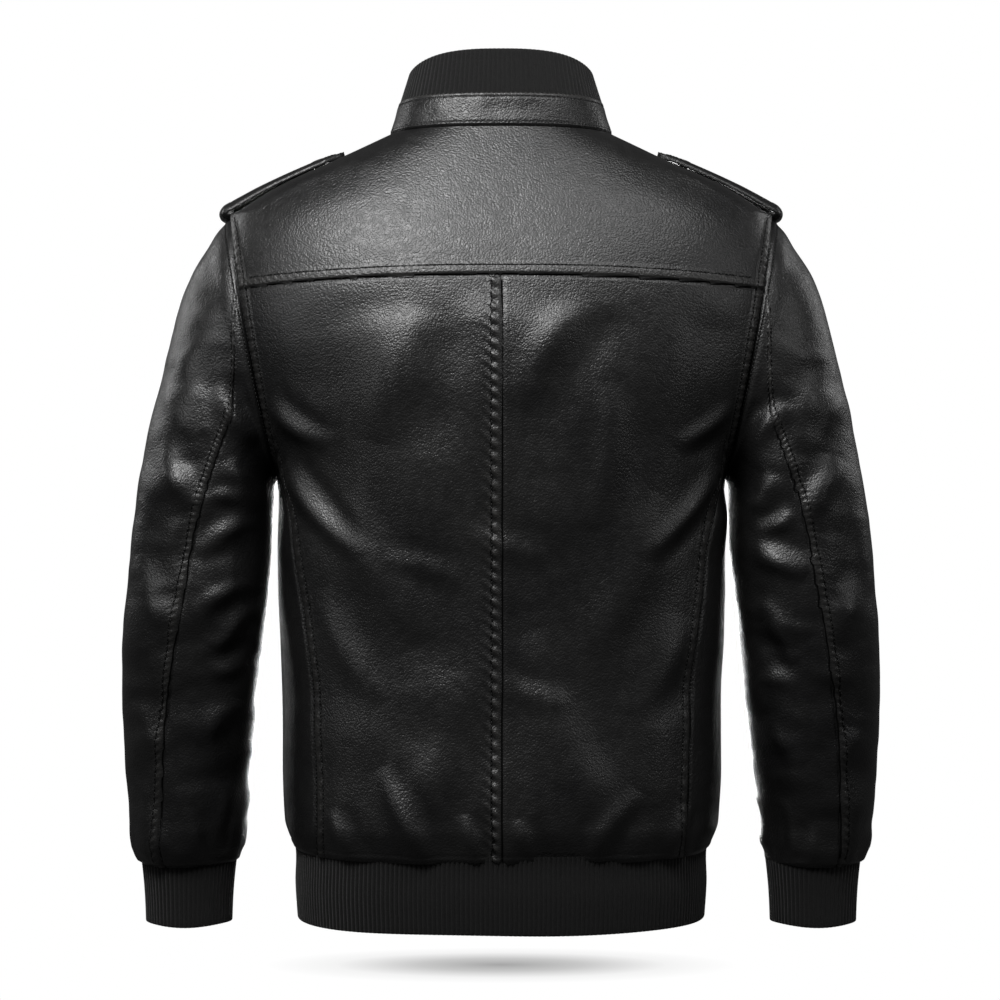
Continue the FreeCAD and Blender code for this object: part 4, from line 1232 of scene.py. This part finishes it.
def make_collar_knit():
    def loop_at(share):
        angle = collar_angles(1201)
        low = stand_share(angle) - 0.05
        points = even_loop(collar_point(angle, low + (1 - low) * (1 - share)), 1150)
        return points, outward_of(points, False)
    profile = [(share, depth, rib, -drop) for share, depth, rib, drop in fold_profile(1.8)]
    make_rib_band("collar_knit", loop_at, False, profile, (0, -10, 20), ["collar_rib"], BODY)


def make_cuffs():
    turn = np.linspace(0, 2 * math.pi, 560, endpoint=False)
    outward = np.stack([np.cos(turn), np.sin(turn), 0 * turn], axis=1)
    for name, side in (("left", 1), ("right", -1)):
        def loop_at(share):
            z = CUFF_BOTTOM_Z + KNIT_DROP + (CUFF_TOP_Z - CUFF_BOTTOM_Z - KNIT_DROP) * share
            radius = CUFF_BOTTOM_RADIUS + (CUFF_TOP_RADIUS - CUFF_BOTTOM_RADIUS) * share
            points = outward * (radius - 0.9 * math.sin(math.pi * share)) + (side * CUFF_X, CUFF_Y, z)
            points[:, 2] += 0.7 * np.sin(turn * 3)
            return points, outward
        make_rib_band(f"cuff_knit_{name}", loop_at, True, fold_profile(KNIT_DROP),
                      (side * CUFF_X, CUFF_Y, -636), [f"cuff_{name}"], f"forearm_{name}")


# ---------------------------------------------------------------- leather collar stand
STAND_COLUMNS = 620
STAND_STITCHES = (3.6, 4.2)               # from the stand's lower and upper edge


def stand_loop(angle, height, count):
    return even_loop(collar_point(angle, stand_share(angle) * height / STAND_HEIGHT), count)


def make_collar_stand():
    angle = collar_angles(1400)
    low_row, top_row = STAND_STITCHES
    rows = []
    heights = np.linspace(0, STAND_HEIGHT, 44)
    for height in heights:
        loop = stand_loop(angle, height, STAND_COLUMNS)
        top = STAND_HEIGHT - height
        amount = (0.7 * smooth_step(0, 3.5, height) - 0.9 * bump(height, 0, 1.4)
                  - 0.4 * bump(height, low_row, 0.8) - 0.5 * bump(top, top_row, 0.8)
                  - 1.4 * bump(top, 0, 1.2) + 0.15)
        ripple = 0.7 * noise(loop, (26, 26, 14), 51) + 0.5 * noise(loop, (11, 11, 30), 53)
        rows.append(loop + outward_of(loop, False) * (amount + ripple * bump(top, 12, 12))[:, None])
    roll = rows[-1] - outward_of(rows[-1], False) * 2.4 + (0, 0, 0.3)
    hidden = rows[0] - outward_of(rows[0], False) * 2.6 - (0, 0, 1.0)
    grid = np.stack([hidden, *rows, roll])
    obj = new_object("collar_leather", grid.reshape(-1, 3), grid_faces(grid_index(grid)), LEATHER)
    face_outward(obj, (0, -10, -10))
    keep_rest(obj)
    wear = np.concatenate([[0], bump(heights, STAND_HEIGHT, 2.5), [0.5]])
    keep_wear(obj, np.repeat(wear, STAND_COLUMNS) * 0.9)
    settle(obj, BODY, "leather", "collar_stand")
    paths = [stand_loop(angle, height, 500) for height in (low_row, STAND_HEIGHT - top_row)]
    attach(sew("collar_topstitching", obj, paths), BODY)
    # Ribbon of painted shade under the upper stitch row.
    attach(painted_shade_ribbons("collar_stitch_painted_shade", surface_tree(obj), paths[1:], 0.9, SHADE_RIBBON_RISE), BODY)


# ---------------------------------------------------------------- lining
BODY_LINING_DEPTH = 5.2


def make_lining():
    """Satin lining of the body, a smooth copy of the torso a few millimetres inside it."""
    z = np.concatenate([np.linspace(HEM_SEAM_Z - 3, ARM_TOP_Z, 70),
                        np.linspace(ARM_TOP_Z, TORSO_TOP_Z, 26)[1:]])
    for name, is_back, nodes in (("lining_back", True, ["back_lining"]),
                                 ("lining_front", False, both("front_lining"))):
        half = torso_grid(np.maximum(z, HEM_SEAM_Z), is_back)[:, ::5]
        half[:, :, 2] = z[:, None]
        other = half * mirror(-1)
        if is_back:
            grids = [np.concatenate([other[:, :0:-1], half], axis=1)]
            faces = grid_faces(grid_index(grids[0]))
        else:
            grids = [half, other]
            faces = np.concatenate([grid_faces(grid_index(half))[:, ::-1],
                                    grid_faces(grid_index(other, half[..., 0].size))])
        points = np.concatenate([grid.reshape(-1, 3) for grid in grids])
        obj = new_object(name, points, faces, LINING)
        face_outward(obj, TORSO_MIDDLE)
        points = vertex_array(obj)
        depth = BODY_LINING_DEPTH + 1.2 * noise(points, (40, 40, 120), 61)
        move_vertices(obj, points - normal_array(obj) * depth[:, None])
        keep_rest(obj)
        settle(obj, BODY, "lining", *nodes)


# ---------------------------------------------------------------- padded straps and welts
STRIP_STITCH = 3.4        # from the strip's edge
STRAP_THICKNESS = 5.0
STRAP_WIDTHS = [(0, 2), (0.03, 10), (0.16, 29), (0.3, 31), (1, STRAP_WIDTH)]
STRAP_CROWN = [(0, 1.5), (0.2, 4.0), (0.45, 4.6), (0.6, 4.9), (1, 6.5)]
FOLD_WIDTHS = [(0, STRAP_WIDTH), (1, STRAP_WIDTH - 3)]
FOLD_CROWN = [(0, 6.5), (1, 5.0)]


def padded_strip(path, sideways, upward, widths, thickness, crown, closed=False):
    """Rounded strip along a path. Widths and crown are given at each point of the path."""
    turn = np.linspace(0, 2 * math.pi, 64, endpoint=False)
    across = np.sign(np.cos(turn)) * np.abs(np.cos(turn)) ** 0.35
    lift = np.sign(np.sin(turn)) * np.abs(np.sin(turn)) ** 0.7
    half = widths[:, None] / 2
    y = half * across[None]
    edge = half - np.abs(y)
    groove = 0.45 * bump(edge, STRIP_STITCH, 0.7) + 0.35 * smooth_step(3.6, 9, edge)
    height = thickness / 2 * lift[None] * (1 - 0.3 * groove) - groove * (lift[None] > 0.3)
    height = height - crown[:, None] * across[None] ** 2
    grid = path[:, None] + sideways[:, None] * y[..., None] + upward[:, None] * height[..., None]
    index = grid_index(grid)
    if closed:
        index = np.concatenate([index, index[:1]])
    return grid.reshape(-1, 3), grid_faces(index, True)


def strap_piece(name, line, side, widths, crown, count, body, replaced):
    """Strap over the shoulder along a line of (x, z) points."""
    path = even_loop(curve_through([(x, 0, z) for x, z in line]), count)
    tangent = unit(np.gradient(path, axis=0))
    upward = np.stack([-tangent[:, 2], 0 * tangent[:, 0], tangent[:, 0]], axis=1)
    sideways = np.tile([0.0, 1.0, 0.0], (count, 1))
    share = np.linspace(0, 1, count)
    width, crown = (np.interp(share, *np.array(keys).T) for keys in (widths, crown))
    points, faces = padded_strip(path, sideways, upward, width, STRAP_THICKNESS, crown)
    obj = new_object(name, points * mirror(side), faces, PLAIN_LEATHER)
    face_outward(obj, (side * 190, 0, -60))
    rows = []
    for edge in (-1, 1):
        row = path + upward * 2.0
        row[:, 1] = edge * (width / 2 - STRIP_STITCH)
        rows.append((row * mirror(side))[2:-2])
    settle(obj, body, "leather", replaced)
    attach(sew(name + "_stitches", obj, rows), body)


def curve_through(points):
    """Smooth polyline through a few points."""
    points = np.array(points, float)
    places = np.arange(len(points))
    fine = np.linspace(0, len(points) - 1, 200)
    return np.stack([smooth_value(list(zip(places, points[:, k])), fine) for k in range(3)], axis=1)


def make_epaulettes():
    for name, side in (("left", 1), ("right", -1)):
        strap_piece(f"epaulette_leather_{name}", STRAP_LINE, side, STRAP_WIDTHS, STRAP_CROWN, 150,
                    f"epaulette_{name}", f"epaulette_strap_{name}")
        strap_piece(f"epaulette_end_{name}", FOLD_LINE, side, FOLD_WIDTHS, FOLD_CROWN, 60,
                    BODY, f"epaulette_fold_{name}")


# ---------------------------------------------------------------- zips and pockets
TOOTH_PITCH, TOOTH_SIZE = 2.5, (4.2, 2.2, 1.5)
POCKET_TOOTH_PITCH, POCKET_TOOTH_SIZE = 1.7, (2.9, 1.3, 1.0)
WELT_WIDTH, WELT_THICKNESS = 6.2, 2.9


def rounded_box(size, rounding=0.35):
    """Box with bevelled edges, as points and quads, centred on the origin."""
    half = np.array(size) / 2
    points, faces = [], []
    turns = [(1, 1), (-1, 1), (-1, -1), (1, -1)]
    for depth, shrink in ((-1, rounding), (-1 + rounding, 0), (1 - rounding, 0), (1, rounding)):
        wide, _, tall = half - shrink * half.min()
        points += [(cx * wide, depth * half[1], cz * tall) for cx, cz in turns]
    for ring in range(3):
        for k in range(4):
            a, b = ring * 4 + k, ring * 4 + (k + 1) % 4
            faces.append((a, b, b + 4, a + 4))
    faces += [(3, 2, 1, 0), (12, 13, 14, 15)]
    return np.array(points), np.array(faces)


def tooth_row(name, origin, basis, length, pitch, size, offset, start, nodes):
    """Row of equal teeth up a local z axis. basis rows are across, outward and up."""
    template, template_faces = rounded_box(size)
    places = np.arange(start, length, pitch)
    points = [(template + (*offset, place)) @ basis + origin for place in places]
    faces = [template_faces + k * len(template) for k in range(len(places))]
    obj = new_object(name, np.concatenate(points), np.concatenate(faces), PALE_METAL, smooth=False)
    settle(obj, BODY, "gunmetal", *nodes)


def pocket_frame():
    """Origin and basis of the left pocket opening, as in CAD: across, outward and up."""
    top = surface_line(*POCKET_TOP, False)
    low = surface_line(*POCKET_LOW, False)
    up = unit(top - low)
    x, z = (POCKET_TOP[0] + POCKET_LOW[0]) / 2, (POCKET_TOP[1] + POCKET_LOW[1]) / 2
    level = surface_line(x + 5, z, False) - surface_line(x - 5, z, False)
    outward = unit(np.cross(level, up))
    outward = outward if outward[1] < 0 else -outward
    return surface_line(x, z, False), np.array([np.cross(outward, up), outward, up])


def make_main_zip():
    up = unit(np.array([0, FRONT_LEAN, 1.0]))
    outward = unit(np.array([0, -1.0, FRONT_LEAN]))
    basis = np.array([np.cross(outward, up), outward, up])
    origin = np.array([0, -front_edge_depth(ZIP_BOTTOM_Z), ZIP_BOTTOM_Z])
    length = (ZIP_TOP_Z - ZIP_BOTTOM_Z) * math.hypot(1, FRONT_LEAN)
    for name, side, start in (("left", -1, 0.8), ("right", 1, 0.8 + TOOTH_PITCH / 2)):
        tooth_row(f"zip_tooth_row_{name}", origin, basis, length, TOOTH_PITCH, TOOTH_SIZE,
                  (side * 1.5, CHAIN_FACE - 1.3), start, [f"zip_teeth_{name}"])


def rounded_loop(half_width, half_length, radius, count):
    """Closed rounded rectangle in local x and z, as points with their outward directions."""
    corners, outward = [], []
    for sx, sz, start in ((1, 1, 0), (-1, 1, 90), (-1, -1, 180), (1, -1, 270)):
        for step in range(9):
            turn = math.radians(start + step * 90 / 8)
            outward.append((math.cos(turn), math.sin(turn)))
            corners.append((sx * (half_width - radius) + radius * math.cos(turn),
                            sz * (half_length - radius) + radius * math.sin(turn)))
    corners, outward = np.array(corners + corners[:1]), np.array(outward + outward[:1])
    run = run_along(corners)
    at = np.linspace(0, run[-1], count, endpoint=False)
    return points_at(at, run, corners), unit(points_at(at, run, outward))


def make_pockets():
    origin, basis = pocket_frame()
    length = math.dist(POCKET_TOP, POCKET_LOW)
    place, facing = rounded_loop(7.0, length / 2 + 5.0, 3.0, 260)
    local = np.stack([place[:, 0], np.full(len(place), WELT_LIFT + 1.2), place[:, 1]], axis=1)
    path = local @ basis + origin
    sideways = np.stack([facing[:, 0], 0 * facing[:, 0], facing[:, 1]], axis=1) @ basis
    upward = np.tile(basis[1], (len(place), 1))
    points, faces = padded_strip(path, sideways, upward, np.full(len(place), WELT_WIDTH),
                                 WELT_THICKNESS, np.zeros(len(place)), True)
    row = path + sideways * 0.6 + upward * 1.4
    row = np.concatenate([row, row[:1]])
    for name, side in (("left", 1), ("right", -1)):
        welt = new_object(f"pocket_frame_{name}", points * mirror(side), faces, PLAIN_LEATHER)
        if side < 0:
            welt.data.flip_normals()
        settle(welt, BODY, "leather", f"pocket_welt_{name}")
        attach(sew(f"pocket_stitches_{name}", welt, [row * mirror(side)]), BODY)
        low_end = (origin - basis[2] * length / 2) * mirror(side)
        rows = (("inner", -1, 1.0, [f"pocket_chain_{name}"]), ("outer", 1, 1.8, []))
        for label, across, start, nodes in rows:
            tooth_row(f"pocket_teeth_{label}_{name}", low_end, basis * mirror(side), length - 1,
                      POCKET_TOOTH_PITCH, POCKET_TOOTH_SIZE, (across * 1.1, WELT_LIFT + 0.7), start, nodes)


# ---------------------------------------------------------------- camera, light and stage
CAMERA_DISTANCE = 2.2
CAMERA_SIDE, CAMERA_HEIGHT = 0.0009, -0.305
FRAME_WIDTH = 0.85
AMBIENT = 0.05
FLOOR_Z = HEM_BOTTOM_Z - 44
FLOOR_HALF_WIDTH, FLOOR_HALF_DEPTH = 420, 260
SHADOW_HALF_WIDTH, SHADOW_HALF_DEPTH = 0.2, 0.085


def make_camera():
    camera_data = bpy.data.cameras.new("camera")
    camera_data.lens = camera_data.sensor_width * CAMERA_DISTANCE / FRAME_WIDTH
    camera = bpy.data.objects.new("camera", camera_data)
    bpy.context.scene.collection.objects.link(camera)
    camera.location = (CAMERA_SIDE, CAMERA_DISTANCE, CAMERA_HEIGHT)
    camera.rotation_euler = (math.radians(90), 0, math.radians(180))
    bpy.context.scene.camera = camera


def area_light(name, place, target, size, power):
    data = bpy.data.lights.new(name, "AREA")
    data.shape = "RECTANGLE"
    data.size, data.size_y = size
    data.energy = power
    light = bpy.data.objects.new(name, data)
    bpy.context.scene.collection.objects.link(light)
    light.location = place
    direction = Vector(target) - Vector(place)
    light.rotation_euler = direction.to_track_quat("-Z", "Y").to_euler()


def make_lights():
    area_light("top_back", (0.48, 1.1, 1.02), (0.05, 0.1, -0.12), (0.8, 0.5), 31)
    area_light("top_right", (-0.6, 0.9, 1.2), (-0.1, 0.1, -0.2), (0.6, 0.4), 8)
    area_light("left_back", (1.75, 1.15, 0.5), (0.15, 0, -0.3), (0.3, 1.0), 6)
    area_light("right_back", (-1.9, 1.0, 0.5), (-0.15, 0, -0.3), (0.3, 1.0), 4.5)
    area_light("low_front", (0.0, -1.7, -0.5), (0, -0.1, -0.3), (0.9, 0.5), 27)
    area_light("left_front", (1.75, -1.15, 0.5), (0.15, 0, -0.3), (0.3, 1.0), 6.5)
    area_light("right_front", (-1.75, -1.15, 0.5), (-0.15, 0, -0.3), (0.3, 1.0), 4.5)


def make_world():
    """White to the camera, and a faint glow to everything else."""
    world = bpy.data.worlds.new("studio")
    bpy.context.scene.world = world
    world.use_nodes = True
    tree = world.node_tree
    background = tree.nodes["Background"]
    background.inputs["Color"].default_value = (1, 1, 1, 1)
    path = tree.nodes.new("ShaderNodeLightPath")
    strength = node(tree, "ShaderNodeMapRange", To_Min=AMBIENT, To_Max=1.0)
    tree.links.new(path.outputs["Is Camera Ray"], strength.inputs["Value"])
    tree.links.new(strength.outputs["Result"], background.inputs["Strength"])
    bpy.context.scene.view_settings.view_transform = "Standard"


def make_floor():
    """Pale floor: it is as white as the backdrop, apart from the soft shadow under the jacket."""
    corners = [(x * FLOOR_HALF_WIDTH, y * FLOOR_HALF_DEPTH, FLOOR_Z)
               for x, y in ((-1, -1), (1, -1), (1, 1), (-1, 1))]
    material, tree, shader = new_material("floor_shadow")
    scaled = node(tree, "ShaderNodeMapping", Location=(0, 0, -FLOOR_Z * MM / SHADOW_HALF_WIDTH),
                  Scale=(1 / SHADOW_HALF_WIDTH, 1 / SHADOW_HALF_DEPTH, 1 / SHADOW_HALF_WIDTH))
    tree.links.new(object_place(tree), scaled.inputs["Vector"])
    distance = tree.nodes.new("ShaderNodeVectorMath")
    distance.operation = "LENGTH"
    tree.links.new(scaled.outputs["Vector"], distance.inputs[0])
    stops = [(0.0, grey(0.62)), (0.35, grey(0.42)), (0.7, grey(0.1)), (1.0, grey(0.0))]
    wire(tree, shader, Alpha=ramp(tree, distance.outputs["Value"], stops))
    set_inputs(shader, Base_Color=(0, 0, 0, 1), Specular_IOR_Level=0.0)
    floor = new_object("floor", corners, [(0, 1, 2, 3)], material, smooth=False)
    floor.visible_glossy = False
    floor.visible_diffuse = False
    floor.visible_shadow = False


def finish_cad_nodes():
    """Gives the CAD nodes that stay their materials."""
    finishes = {
        PLAIN_LEATHER: ["hanger_loop"],
        GUNMETAL: ["zip_retaining_box", "zip_top_stops", "main_slider", "main_pull"] + both("pocket_slider")
        + both("pocket_pull") + both("snap_cap") + both("snap_stud"),
        TAPE: both("zip_tape"),
        LINING: both("pocket_bag"),
        LABEL: ["neck_label"],
    }
    for material, names in finishes.items():
        for name in names:
            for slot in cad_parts[name].material_slots:
                slot.material = material


make_camera()
make_world()
make_lights()
make_floor()
torso = make_torso()
make_torso_stitches(torso)
make_sleeves()
make_hem()
make_collar_knit()
make_cuffs()
make_collar_stand()
make_lining()
make_epaulettes()
make_main_zip()
make_pockets()
finish_cad_nodes()
